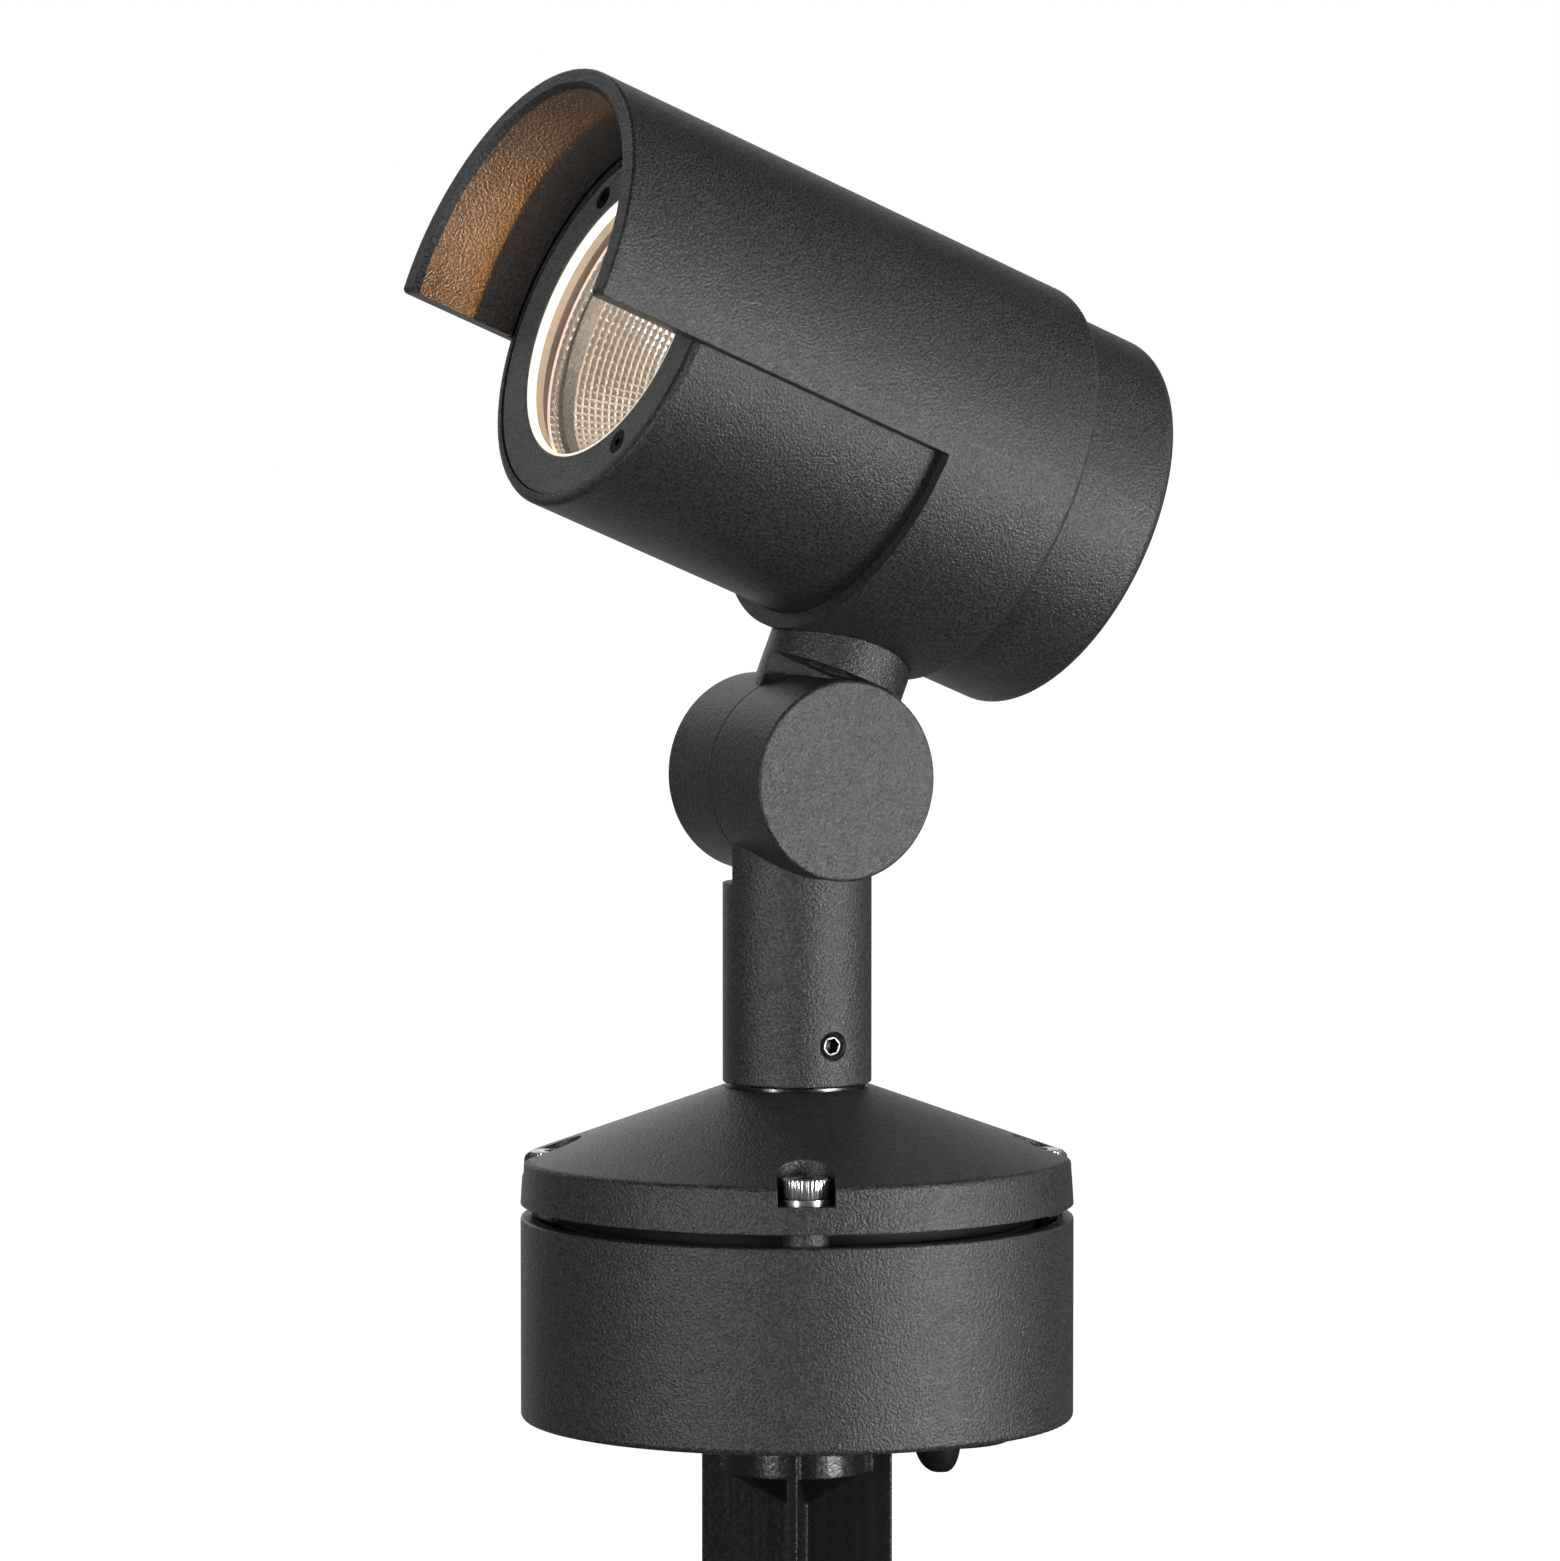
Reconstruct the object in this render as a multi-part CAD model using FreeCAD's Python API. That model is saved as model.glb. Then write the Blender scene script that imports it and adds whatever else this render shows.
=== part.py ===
"""Garden spike spotlight: round junction box on a cross spike, swivelling stem, tilting lamp head.

Row frame: +Z up, origin at the centre of the box underside (ground level). The lamp points
towards -Y and is tilted up by REST_TILT; the knuckle turns about X. Sizes are millimetres.

Head frame: the head's pieces are drawn on the lamp's own axis, x across, y up from the axis and
z forwards along the beam from the middle of the neck, then placed by in_head().
"""
import FreeCAD
import Part

import os
from math import acos, atan2, cos, degrees, pi, radians, sin, sqrt, tan

V = FreeCAD.Vector

# ---- clearances -------------------------------------------------------------------------
RUNNING = 0.05          # radial gap of a shaft or screw in its hole
SLIP = 0.1              # gap round pieces that are slid together by hand
BODY_GAP = 0.3          # gap between faces of two pieces that move past each other
BITE = 1.0              # how far a cutting or joining solid runs past the face it meets

# ---- junction box -----------------------------------------------------------------------
BOX_R = 50.0
BOX_H = 36.6
BOX_WALL = 3.0
BOX_FLOOR = 4.0
BOX_FOOT_ROUND = 1.0
BOX_RIM_ROUND = 0.5
SEAL_WALL_INSET = 7.0   # from the box's outside to the wall that carries the gasket
SEAL_WALL = 2.0
SEAL_WALL_STEP = 0.6    # how far that wall stays below the box rim
FIXING_HOLE_R = 2.3     # two holes that screw the box down without its spike
FIXING_HOLE_PITCH_R = 30.0
FIXING_HOLE_ANGLE = 107.7

# ---- lid --------------------------------------------------------------------------------
LID_GAP = 2.4           # open shadow gap between box rim and lid rim
LID_R = BOX_R
LID_DRAFT = 0.5
LID_RIM_H = 8.2
LID_RIM_ROUND = 1.2
LID_WALL = 3.0
LID_RISE = 12.9         # height of the cone above the rim
HUB_R = 13.6
HUB_DEPTH = 10.1
GASKET_T = 2.0
GASKET_SIDE_GAP = 0.3

# ---- lid screws (M5 with a low socket head) -----------------------------------------------
SCREW_COUNT = 4
SCREW_ANGLE = -27.3
SCREW_INSET = 6.0       # from the box's outside to the screw's centre
SCREW_R = 2.5
SCREW_LENGTH = 16.0
SCREW_HEAD_R = 4.25
SCREW_HEAD_H = 3.6
SCREW_SOCKET = 3.0      # across flats
SCREW_SOCKET_DEPTH = 2.0
SCREW_WASHER_R = 4.5
SCREW_WASHER_T = 1.0
SCREW_POCKET_R = 5.1
SCREW_POCKET_FLOOR = 4.8    # metal under the washer, down to the lid rim's edge
SCREW_BOSS_R = 4.1
SCREW_PILLAR_WALL = 1.8
SCREW_HOLE_SPARE = 3.0

# ---- cable grommet ----------------------------------------------------------------------
GROMMET_INSET = 16.6    # from the box's outside to the grommet's centre
GROMMET_ANGLE = 19.3
GROMMET_FLANGE_R = 13.1
GROMMET_FLANGE_T = 1.0
GROMMET_NECK_R = 6.0
GROMMET_LIP_R = 7.4
GROMMET_LIP_T = 1.6
NIPPLE_R = 4.2
NIPPLE_H = 6.1
NIPPLE_LEAN = 1.0       # the rounded tip sits this far outwards

# ---- spike ------------------------------------------------------------------------------
SPIKE_ANGLE = -32.2
SPIKE_BOSS_R = 13.6
SPIKE_BOSS_H = 9.6
SPIKE_CONE_H = 6.0
SPIKE_CORE_R = 2.6
SPIKE_LENGTH = 180.0
SPIKE_STRAIGHT = 75.0   # length over which the blades keep their width
BLADE_R = 17.2
BLADE_ROOT_T = 3.7
BLADE_EDGE_T = 1.9
BLADE_POINT_R = 1.2
CROSSING_TOLERANCE = 1e-6   # for the two blade pairs that cross on one axis
INSERT_R = 6.0
INSERT_H = 12.0
SPIKE_BOLT_R = 4.0      # M8
SPIKE_BOLT_HEAD_FLATS = 13.0
SPIKE_BOLT_HEAD_H = 5.3
SPIKE_WASHER_R = 10.0
SPIKE_WASHER_T = 1.6
SPIKE_BOLT_SPARE = 0.6

# ---- terminals in the box ---------------------------------------------------------------
TERMINAL_ANGLE = 197.7
TERMINAL_PITCH_R = 20.0
TERMINAL_W = 26.0
TERMINAL_D = 16.0
TERMINAL_H = 18.0
TERMINAL_PITCH = 8.5
TERMINAL_WELL_R = 2.4
TERMINAL_WELL_DEPTH = 6.0
TERMINAL_WIRE_R = 1.9
TERMINAL_WIRE_Z = 10.5      # height of the wire holes above the floor
TERMINAL_EAR = 4.5
TERMINAL_EAR_T = 3.0
TERMINAL_EAR_W = 7.0
TERMINAL_CHAMFER = 2.0
TERMINAL_SCREW_H = 2.4
FIX_SCREW_R = 1.5           # M3 pan head, used for terminals and boards
FIX_SCREW_HEAD_R = 2.6
FIX_SCREW_HEAD_H = 1.8
FIX_SCREW_IN_FLOOR = 2.6
EARTH_ANGLE = 62.0
EARTH_PITCH_R = 31.0
EARTH_BOSS_R = 4.2
EARTH_BOSS_H = 5.0
EARTH_SCREW_R = 2.0
EARTH_HEAD_R = 3.8
EARTH_HEAD_H = 2.8
EARTH_SCREW_DEPTH = 4.0
SLOT_W = 0.8
SLOT_DEPTH = 0.9

# ---- swivel -----------------------------------------------------------------------------
SPIGOT_R = 8.0
SPIGOT_BORE_R = 5.2
SPIGOT_TAIL = 8.0       # length below the lid hub
SPIGOT_RISE = 16.0      # length above the lid
SPIGOT_FLANGE_R = 12.3
SPIGOT_FLANGE_T = 0.5
SPIGOT_GROOVE_R = 7.3
SPIGOT_GROOVE_H = 5.4
SPIGOT_NUT_FLATS = 22.0
SPIGOT_NUT_H = 6.0
SPIGOT_SEAL_R = 11.0
SPIGOT_SEAL_T = 1.0

# ---- stem and knuckle -------------------------------------------------------------------
STEM_R = 13.45
STEM_SHOULDER_GAP = 1.3    # between the moving disc and the shoulder under it
STEM_BORE_SPARE = 1.5
SET_SCREW_R = 2.0           # M4
SET_SCREW_RISE = 7.4        # height of the set screw above the stem's foot
SET_SCREW_SOCKET = 2.0
SET_SCREW_RECESS = 0.6
SET_SCREW_SOCKET_DEPTH = 2.0
SET_SCREW_SINK_R = 2.65     # countersink round the set screw's hole
PIVOT_Z = 116.2
KNUCKLE_R = 18.0
FIXED_DISC_T = 18.4
ARM_DISC_T = 15.9
DISC_ROUND = 0.6
PIVOT_BOLT_R = 3.0          # M6
PIVOT_BOLT_GRIP = 22.0
PIVOT_HEAD_R = 5.0
PIVOT_HEAD_H = 6.0
PIVOT_SOCKET = 5.0
PIVOT_SOCKET_DEPTH = 3.0
PIVOT_WASHER_R = 5.2
PIVOT_WASHER_T = 1.6
PIVOT_POCKET_R = 5.6
PIVOT_POCKET_DEPTH = 8.2
WIRE_RING_IN = 7.2          # ring-shaped wire space round the pivot bolt
WIRE_RING_OUT = 12.2
WIRE_RING_DEPTH = 8.8
O_RING_R = 14.7
O_RING_WIRE_R = 0.9
O_RING_GROOVE = 0.1         # groove clearance round the ring

# ---- leads ------------------------------------------------------------------------------
LEAD_R = 1.8
LEAD_BEND = 2.7
LEAD_X = 6.5                # offset of the rising lead in the fixed knuckle half
LEAD_ARM_X = -5.2           # and in the moving arm
LEAD_CHANNEL_R = 3.2

# ---- arm --------------------------------------------------------------------------------
REST_TILT = 22.3
NECK_R = 13.2
NECK_STEP_GAP = 1.0         # between the fixed disc and the near half of the neck
NECK_H = 4.28               # height of that half, up to the hood
ARM_SCREW_R = 2.0           # M4 countersunk
ARM_SCREW_LENGTH = 13.0
ARM_SCREW_HEAD_R = 3.9
ARM_SCREW_HEAD_H = 2.2
ARM_SCREW_X = 6.8
ARM_SCREW_PITCH = 10.0

# ---- hood and lamp housing --------------------------------------------------------------
HOUSING_R = 35.65
HOUSING_WALL = 2.6
HOOD_WALL = 2.87
HOOD_REAR = -13.8
HOOD_FRONT = 88.6
HOOD_CUT_Y = -4.2           # the hood's side edges lie this far below the axis
HOOD_CUT_S = 13.6           # where the closed tube ends and the open hood begins
HOOD_REAR_ROUND = 1.4
HOOD_EDGE_ROUND = 0.45
HOOD_CORNER_ROUND = 1.2
MOUTH_STEP_X = 1.85         # the thicker mouth's oval opening inside the housing's radius
MOUTH_STEP_Y = 0.65
MOUTH_GAP = 0.6             # between the housing's front edge and the mouth's shoulder
MOUTH_BEVEL = 1.0
HOUSING_REAR = -12.2
HOUSING_FRONT = 66.7
HOUSING_LIP_ROUND = 1.1
WEB_S = 23.0                # rear face of the web that carries the light source
WEB_T = 4.4
WEB_ROUND_REAR = 1.0
WEB_ROUND_FRONT = 1.5
FRONT_RING_S = 50.0         # rear end of the thick front ring
PAD_H = 6.65                # flat pad inside the housing over the neck
PAD_X = 12.0
PAD_S0 = -8.0
PAD_S1 = 11.0
GLAND_R = 3.9
GLAND_FLANGE_R = 5.3
GLAND_FLANGE_T = 1.5

# ---- rear cover -------------------------------------------------------------------------
COVER_REAR = -33.8
COVER_WALL = 3.2
COVER_ROUND = 2.6
COVER_SPIGOT_L = 4.0
COVER_SPIGOT_WALL = 2.9
COVER_RING_R = 0.6          # O-ring wire radius
COVER_RING_S = -10.4

# ---- front: bezel, glass, reflector ------------------------------------------------------
BEZEL_WALL = 1.95           # housing wall left outside the bezel
BEZEL_GAP = 0.2             # shadow gap between the bezel and the housing
BEZEL_W = 7.2               # from the bezel's rim to its opening
BEZEL_T = 1.7
BEZEL_SINK = 0.2            # bezel face below the housing's front edge
BEZEL_ROUND = 0.3
BEZEL_SCREW_INSET = 3.5     # from the bezel's rim
BEZEL_SCREW_ANGLE = -50.4
BEZEL_SCREW_R = 1.25        # M2.5
BEZEL_SCREW_L = 6.0
BEZEL_SCREW_HEAD_R = 2.1
BEZEL_SCREW_HEAD_H = 0.9
BEZEL_POCKET_DEPTH = 1.1
BEZEL_SOCKET = 1.5
SEAL_LIP_T = 0.45
SEAL_FLANGE_T = 0.2
GLASS_INSET = 5.5           # from the bezel's rim
GLASS_T = 4.0
GASKET_RING_T = 0.8
GASKET_RING_W = 2.7
LEDGE_W = 2.4               # ledge that carries reflector, gasket and glass
REFLECTOR_THROAT_R = 7.5
REFLECTOR_INSET = 1.1       # from the ledge's opening
REFLECTOR_T = 0.8
REFLECTOR_FLANGE_T = 0.8
REFLECTOR_SIDES = 36
REFLECTOR_STEPS = 9

# ---- light source -----------------------------------------------------------------------
LED_BOARD_R = 14.0
LED_BOARD_T = 1.2
LED_HOLDER_R = 13.0
LED_HOLDER_T = 2.6
LED_HOLE_R = 7.2
EMITTER_R = 6.8
EMITTER_T = 1.0
LED_SCREW_PITCH_R = 10.6
LED_SCREW_HEAD_R = 1.7
LED_SCREW_HEAD_H = 1.0
LED_SCREW_R = 1.0
LED_SCREW_IN_WEB = 3.0

# ---- driver -----------------------------------------------------------------------------
STANDOFF_COUNT = 3
STANDOFF_PITCH_R = 22.0
STANDOFF_FLATS = 5.0
STANDOFF_L = 9.4
DRIVER_R = 26.0
DRIVER_T = 1.6
TRANSFORMER = (18.0, 16.0, 13.0)
TRANSFORMER_AT = (7.0, 9.0)
CAPACITOR_R = 4.0
CAPACITOR_L = 14.0
CAPACITOR_AT = ((-9.0, 15.0), (-11.0, 4.5))
DRIVER_TERMINAL = (10.0, 8.0, 9.0)
DRIVER_TERMINAL_AT = (-5.2, -16.0)
LED_LEAD_R = 0.7
LED_LEAD_X = 3.0
LED_LEAD_Y = 17.0

# ---- derived places ---------------------------------------------------------------------
SEAL_WALL_R = BOX_R - SEAL_WALL_INSET
SCREW_PITCH_R = BOX_R - SCREW_INSET
GROMMET_PITCH_R = BOX_R - GROMMET_INSET
LID_Z = BOX_H + LID_GAP
LID_RIM_TOP = LID_Z + LID_RIM_H
LID_TOP = LID_RIM_TOP + LID_RISE
HUB_Z = LID_TOP - HUB_DEPTH
SEAL_Z = BOX_H - SEAL_WALL_STEP
LIP_Z = SEAL_Z + GASKET_T
POCKET_Z = LID_Z + SCREW_POCKET_FLOOR
STEM_Z = LID_TOP + SPIGOT_FLANGE_T + BODY_GAP
SPIGOT_TOP = LID_TOP + SPIGOT_RISE
SHOULDER_Z = PIVOT_Z - KNUCKLE_R - STEM_SHOULDER_GAP
SEAM = BODY_GAP / 2
WIRE_RING_MID = (WIRE_RING_IN + WIRE_RING_OUT) / 2
HOOD_IN_R = HOUSING_R + SLIP
HOOD_R = HOOD_IN_R + HOOD_WALL
NECK_STEP = KNUCKLE_R + NECK_STEP_GAP
AXIS_H = NECK_STEP + NECK_H + HOOD_R    # pivot to lamp axis
PIVOT_Y = -AXIS_H           # the pivot in the head frame
PAD_TOP_Y = PAD_H - HOUSING_R
MOUTH_X = HOUSING_R - MOUTH_STEP_X
MOUTH_Y = HOUSING_R - MOUTH_STEP_Y
BEZEL_R = HOUSING_R - BEZEL_WALL - BEZEL_GAP
BEZEL_IN_R = BEZEL_R - BEZEL_W
BEZEL_SCREW_PITCH_R = BEZEL_R - BEZEL_SCREW_INSET
GLASS_R = BEZEL_R - GLASS_INSET
GASKET_RING_IN_R = GLASS_R - GASKET_RING_W
LEDGE_R = GLASS_R - LEDGE_W
REFLECTOR_RIM_R = LEDGE_R - REFLECTOR_INSET
BEZEL_FRONT = HOUSING_FRONT - BEZEL_SINK
BEZEL_BACK = BEZEL_FRONT - BEZEL_T
GLASS_FRONT = BEZEL_BACK - SEAL_FLANGE_T
GLASS_BACK = GLASS_FRONT - GLASS_T
REFLECTOR_FRONT = GLASS_BACK - GASKET_RING_T
LEDGE_S = REFLECTOR_FRONT - REFLECTOR_FLANGE_T
WEB_FRONT = WEB_S + WEB_T
EMITTER_S = WEB_FRONT + LED_BOARD_T
HOLDER_FRONT = EMITTER_S + LED_HOLDER_T
DRIVER_FRONT = WEB_S - STANDOFF_L
DRIVER_BACK = DRIVER_FRONT - DRIVER_T


# ---- drawing helpers --------------------------------------------------------------------
def cylinder(radius, low, high, x=0.0, y=0.0):
    return Part.makeCylinder(radius, high - low, V(x, y, low))


def ring(outer, inner, low, high, x=0.0, y=0.0):
    return cylinder(outer, low, high, x, y).cut(cylinder(inner, low - BITE, high + BITE, x, y))


def block(x0, x1, y0, y1, z0, z1):
    return Part.makeBox(x1 - x0, y1 - y0, z1 - z0, V(x0, y0, z0))


def x_cylinder(radius, x0, x1, y=0.0, z=0.0):
    return Part.makeCylinder(radius, x1 - x0, V(x0, y, z), V(1, 0, 0))


def y_cylinder(radius, y0, y1, x=0.0, z=0.0):
    return Part.makeCylinder(radius, y1 - y0, V(x, y0, z), V(0, 1, 0))


def polar(radius, angle, z=0.0):
    return V(radius * cos(radians(angle)), radius * sin(radians(angle)), z)


def joined(shapes, tolerance=0.0):
    """One solid from overlapping ones, with the seams between their faces removed."""
    return shapes[0].multiFuse(shapes[1:], tolerance).removeSplitter()


def corner_arc(before, corner, after, radius):
    """Tangent points and arc that round one corner of a path."""
    to_before = (before - corner).normalize()
    to_after = (after - corner).normalize()
    half = acos(max(-1.0, min(1.0, to_before.dot(to_after)))) / 2
    start = corner + to_before * (radius / tan(half))
    end = corner + to_after * (radius / tan(half))
    inward = (to_before + to_after).normalize()
    middle = corner + inward * (radius / sin(half) - radius)
    return start, end, Part.Arc(start, middle, end).toShape()


def rounded_path(points, radii, closed):
    """Wire of straight runs joined by tangent arcs; a radius of 0 leaves a corner sharp."""
    count = len(points)
    stops = []
    for i, point in enumerate(points):
        inner = closed or 0 < i < count - 1
        if inner and radii[i] > 0:
            stops.append(corner_arc(points[i - 1], point, points[(i + 1) % count], radii[i]))
        else:
            stops.append((point, point, None))
    edges = []
    for i, (start, end, arc) in enumerate(stops):
        if arc:
            edges.append(arc)
        if closed or i < count - 1:
            following = stops[(i + 1) % count][0]
            if (following - end).Length > 1e-6:
                edges.append(Part.LineSegment(end, following).toShape())
    return Part.Wire(Part.__sortEdges__(edges))


def turned(corners):
    """Solid turned about Z from corners (r, z) or (r, z, rounding)."""
    points = [V(c[0], 0, c[1]) for c in corners]
    radii = [c[2] if len(c) > 2 else 0.0 for c in corners]
    return Part.Face(rounded_path(points, radii, True)).revolve(V(0, 0, 0), V(0, 0, 1), 360)


def tube(points, radius=LEAD_R, bend=LEAD_BEND):
    """Round wire along straight runs and tangent bends."""
    spine = rounded_path(points, [bend] * len(points), False)
    heading = points[1] - points[0]
    profile = Part.Wire(Part.makeCircle(radius, points[0], heading))
    return spine.makePipeShell([profile], True, False)


def hexagon(flats, low, high, x=0.0, y=0.0):
    corner_r = flats / 2 / cos(pi / 6)
    points = [V(x, y, low) + polar(corner_r, 60 * i) for i in range(7)]
    return Part.Face(Part.makePolygon(points)).extrude(V(0, 0, high - low))


def around(shape, count, start=0.0):
    """Copies of a shape drawn on the +X side, spread evenly round Z."""
    copies = []
    for i in range(count):
        copy = shape.copy()
        copy.rotate(V(0, 0, 0), V(0, 0, 1), start + i * 360 / count)
        copies.append(copy)
    return copies


def moved(shape, offset):
    copy = shape.copy()
    copy.translate(offset)
    return copy


def facing(shape, direction):
    """A shape drawn along +Z, turned so that +Z points along direction."""
    copy = shape.copy()
    copy.Placement = FreeCAD.Placement(V(0, 0, 0), FreeCAD.Rotation(V(0, 0, 1), direction))
    return copy


def cap_screw(shank_r, length, head_r, head_h, socket, depth):
    """Socket head screw: underside of the head at z = 0, shank down, socket open upwards."""
    head = turned([(0, 0), (head_r, 0), (head_r, head_h, head_h * 0.12), (0, head_h)])
    shank = cylinder(shank_r, -length, BITE)
    return joined([head, shank]).cut(hexagon(socket, head_h - depth, head_h + BITE))


def pan_screw(shank_r, length, head_r, head_h):
    """Slotted pan head screw with the underside of its head at z = 0."""
    head = turned([(0, 0), (head_r, 0), (head_r, head_h, head_h * 0.4), (0, head_h)])
    slot = block(-head_r, head_r, -SLOT_W / 2, SLOT_W / 2, head_h - SLOT_DEPTH, head_h + BITE)
    return joined([head, cylinder(shank_r, -length, head_h / 4)]).cut(slot)


def in_head(shape):
    """Place a shape of the head frame in the row frame."""
    copy = shape.copy()
    turn = FreeCAD.Rotation(V(1, 0, 0), 90 - REST_TILT)
    lift = V(0, sin(radians(REST_TILT)), cos(radians(REST_TILT))) * AXIS_H
    copy.Placement = FreeCAD.Placement(V(0, 0, PIVOT_Z) + lift, turn).multiply(copy.Placement)
    return copy


# ---- base -------------------------------------------------------------------------------
def seal_band(low, high, side_gap=0.0, boss_gap=0.0):
    """The sealing wall's outline: a ring that bends inwards round each screw boss."""
    bight_r = SCREW_BOSS_R - 0.5 + boss_gap
    outer = cylinder(SEAL_WALL_R - side_gap, low, high)
    inner = cylinder(SEAL_WALL_R - SEAL_WALL + side_gap, low, high)
    bight = cylinder(bight_r, low, high, x=SCREW_PITCH_R)
    inner_bight = cylinder(SCREW_BOSS_R - 0.5 + SEAL_WALL - side_gap, low, high, x=SCREW_PITCH_R)
    outer = outer.cut(Part.makeCompound(around(bight, SCREW_COUNT, SCREW_ANGLE)))
    inner = inner.cut(Part.makeCompound(around(inner_bight, SCREW_COUNT, SCREW_ANGLE)))
    return outer.cut(inner)


def screw_reach():
    """Height of the lower end of the lid screws."""
    return POCKET_Z + SCREW_WASHER_T - SCREW_LENGTH


def junction_box():
    pan = turned([
        (0, 0),
        (BOX_R, 0, BOX_FOOT_ROUND),
        (BOX_R, BOX_H, BOX_RIM_ROUND),
        (BOX_R - BOX_WALL, BOX_H, BOX_RIM_ROUND),
        (BOX_R - BOX_WALL, BOX_FLOOR, BOX_FOOT_ROUND),
        (0, BOX_FLOOR),
    ])
    under = BOX_FLOOR - BITE
    bosses = around(cylinder(SCREW_BOSS_R, under, BOX_H, x=SCREW_PITCH_R), SCREW_COUNT, SCREW_ANGLE)
    earth_at = polar(EARTH_PITCH_R, EARTH_ANGLE)
    earth_boss = cylinder(EARTH_BOSS_R, under, BOX_FLOOR + EARTH_BOSS_H, earth_at.x, earth_at.y)
    box = joined([pan, seal_band(under, SEAL_Z), earth_boss] + bosses)

    thread = cylinder(SCREW_R + RUNNING, screw_reach() - SCREW_HOLE_SPARE, BOX_H + BITE, x=SCREW_PITCH_R)
    fixing = cylinder(FIXING_HOLE_R, -BITE, BOX_FLOOR + BITE, x=FIXING_HOLE_PITCH_R)
    grommet_at = polar(GROMMET_PITCH_R, GROMMET_ANGLE)
    holes = around(thread, SCREW_COUNT, SCREW_ANGLE) + around(fixing, 2, FIXING_HOLE_ANGLE)
    holes.append(cylinder(SPIKE_BOLT_R + SLIP, -BITE, BOX_FLOOR + BITE))
    holes.append(cylinder(GROMMET_NECK_R, -BITE, BOX_FLOOR + BITE, grommet_at.x, grommet_at.y))
    earth_floor = BOX_FLOOR + EARTH_BOSS_H - EARTH_SCREW_DEPTH - SLIP
    holes.append(cylinder(EARTH_SCREW_R + RUNNING, earth_floor, BOX_FLOOR + EARTH_BOSS_H + BITE,
                          earth_at.x, earth_at.y))
    for hole in terminal_fixings(cylinder(FIX_SCREW_R + RUNNING, BOX_FLOOR - FIX_SCREW_IN_FLOOR,
                                          BOX_FLOOR + BITE)):
        holes.append(hole)
    return box.cut(Part.makeCompound(holes))


def lid_outside(bottom):
    """The lid's outer form, filled solid down to a height."""
    corners = [
        (0, bottom),
        (LID_R, bottom),
        (LID_R - LID_DRAFT, LID_RIM_TOP, LID_RIM_ROUND),
        (HUB_R, LID_TOP),
        (0, LID_TOP),
    ]
    return turned(corners)


def box_lid():
    skirt_in = LID_R - BOX_WALL
    hollow = turned([
        (0, LID_Z - BITE),
        (skirt_in, LID_Z - BITE),
        (skirt_in - LID_DRAFT, LID_RIM_TOP - LID_WALL, LID_RIM_ROUND),
        (HUB_R, LID_TOP - LID_WALL),
        (0, LID_TOP - LID_WALL),
    ])
    form = lid_outside(LID_Z)
    shell = form.cut(hollow)
    pillar_r = SCREW_POCKET_R + SCREW_PILLAR_WALL
    pillar = cylinder(pillar_r, LID_Z + BITE, LID_TOP, x=SCREW_PITCH_R)
    foot = cylinder(SCREW_BOSS_R, BOX_H, POCKET_Z - BITE, x=SCREW_PITCH_R)
    inside = [p.common(form) for p in around(pillar, SCREW_COUNT, SCREW_ANGLE)]
    lip = seal_band(LIP_Z, LID_TOP).common(lid_outside(LIP_Z - BITE))
    hub = cylinder(HUB_R, HUB_Z, LID_TOP)
    lid = joined([shell, hub, lip] + inside + around(foot, SCREW_COUNT, SCREW_ANGLE))

    pocket = cylinder(SCREW_POCKET_R, POCKET_Z, LID_TOP, x=SCREW_PITCH_R).fuse(
        block(SCREW_PITCH_R, BOX_R + BITE, -SCREW_POCKET_R, SCREW_POCKET_R, POCKET_Z, LID_TOP))
    through = cylinder(SCREW_R + SLIP, BOX_H - BITE, POCKET_Z + BITE, x=SCREW_PITCH_R)
    cuts = around(pocket, SCREW_COUNT, SCREW_ANGLE) + around(through, SCREW_COUNT, SCREW_ANGLE)
    cuts.append(cylinder(SPIGOT_R + RUNNING, HUB_Z - BITE, LID_TOP + BITE))
    return lid.cut(Part.makeCompound(cuts))


def lid_gasket():
    return seal_band(SEAL_Z, LIP_Z, GASKET_SIDE_GAP, 0.5 + GASKET_SIDE_GAP)


def lid_screws():
    screw = cap_screw(SCREW_R, SCREW_LENGTH, SCREW_HEAD_R, SCREW_HEAD_H, SCREW_SOCKET,
                      SCREW_SOCKET_DEPTH)
    screw.translate(V(SCREW_PITCH_R, 0, POCKET_Z + SCREW_WASHER_T))
    return Part.makeCompound(around(screw, SCREW_COUNT, SCREW_ANGLE))


def lid_screw_washers():
    washer = ring(SCREW_WASHER_R, SCREW_R + RUNNING, POCKET_Z, POCKET_Z + SCREW_WASHER_T, SCREW_PITCH_R)
    return Part.makeCompound(around(washer, SCREW_COUNT, SCREW_ANGLE))


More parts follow.
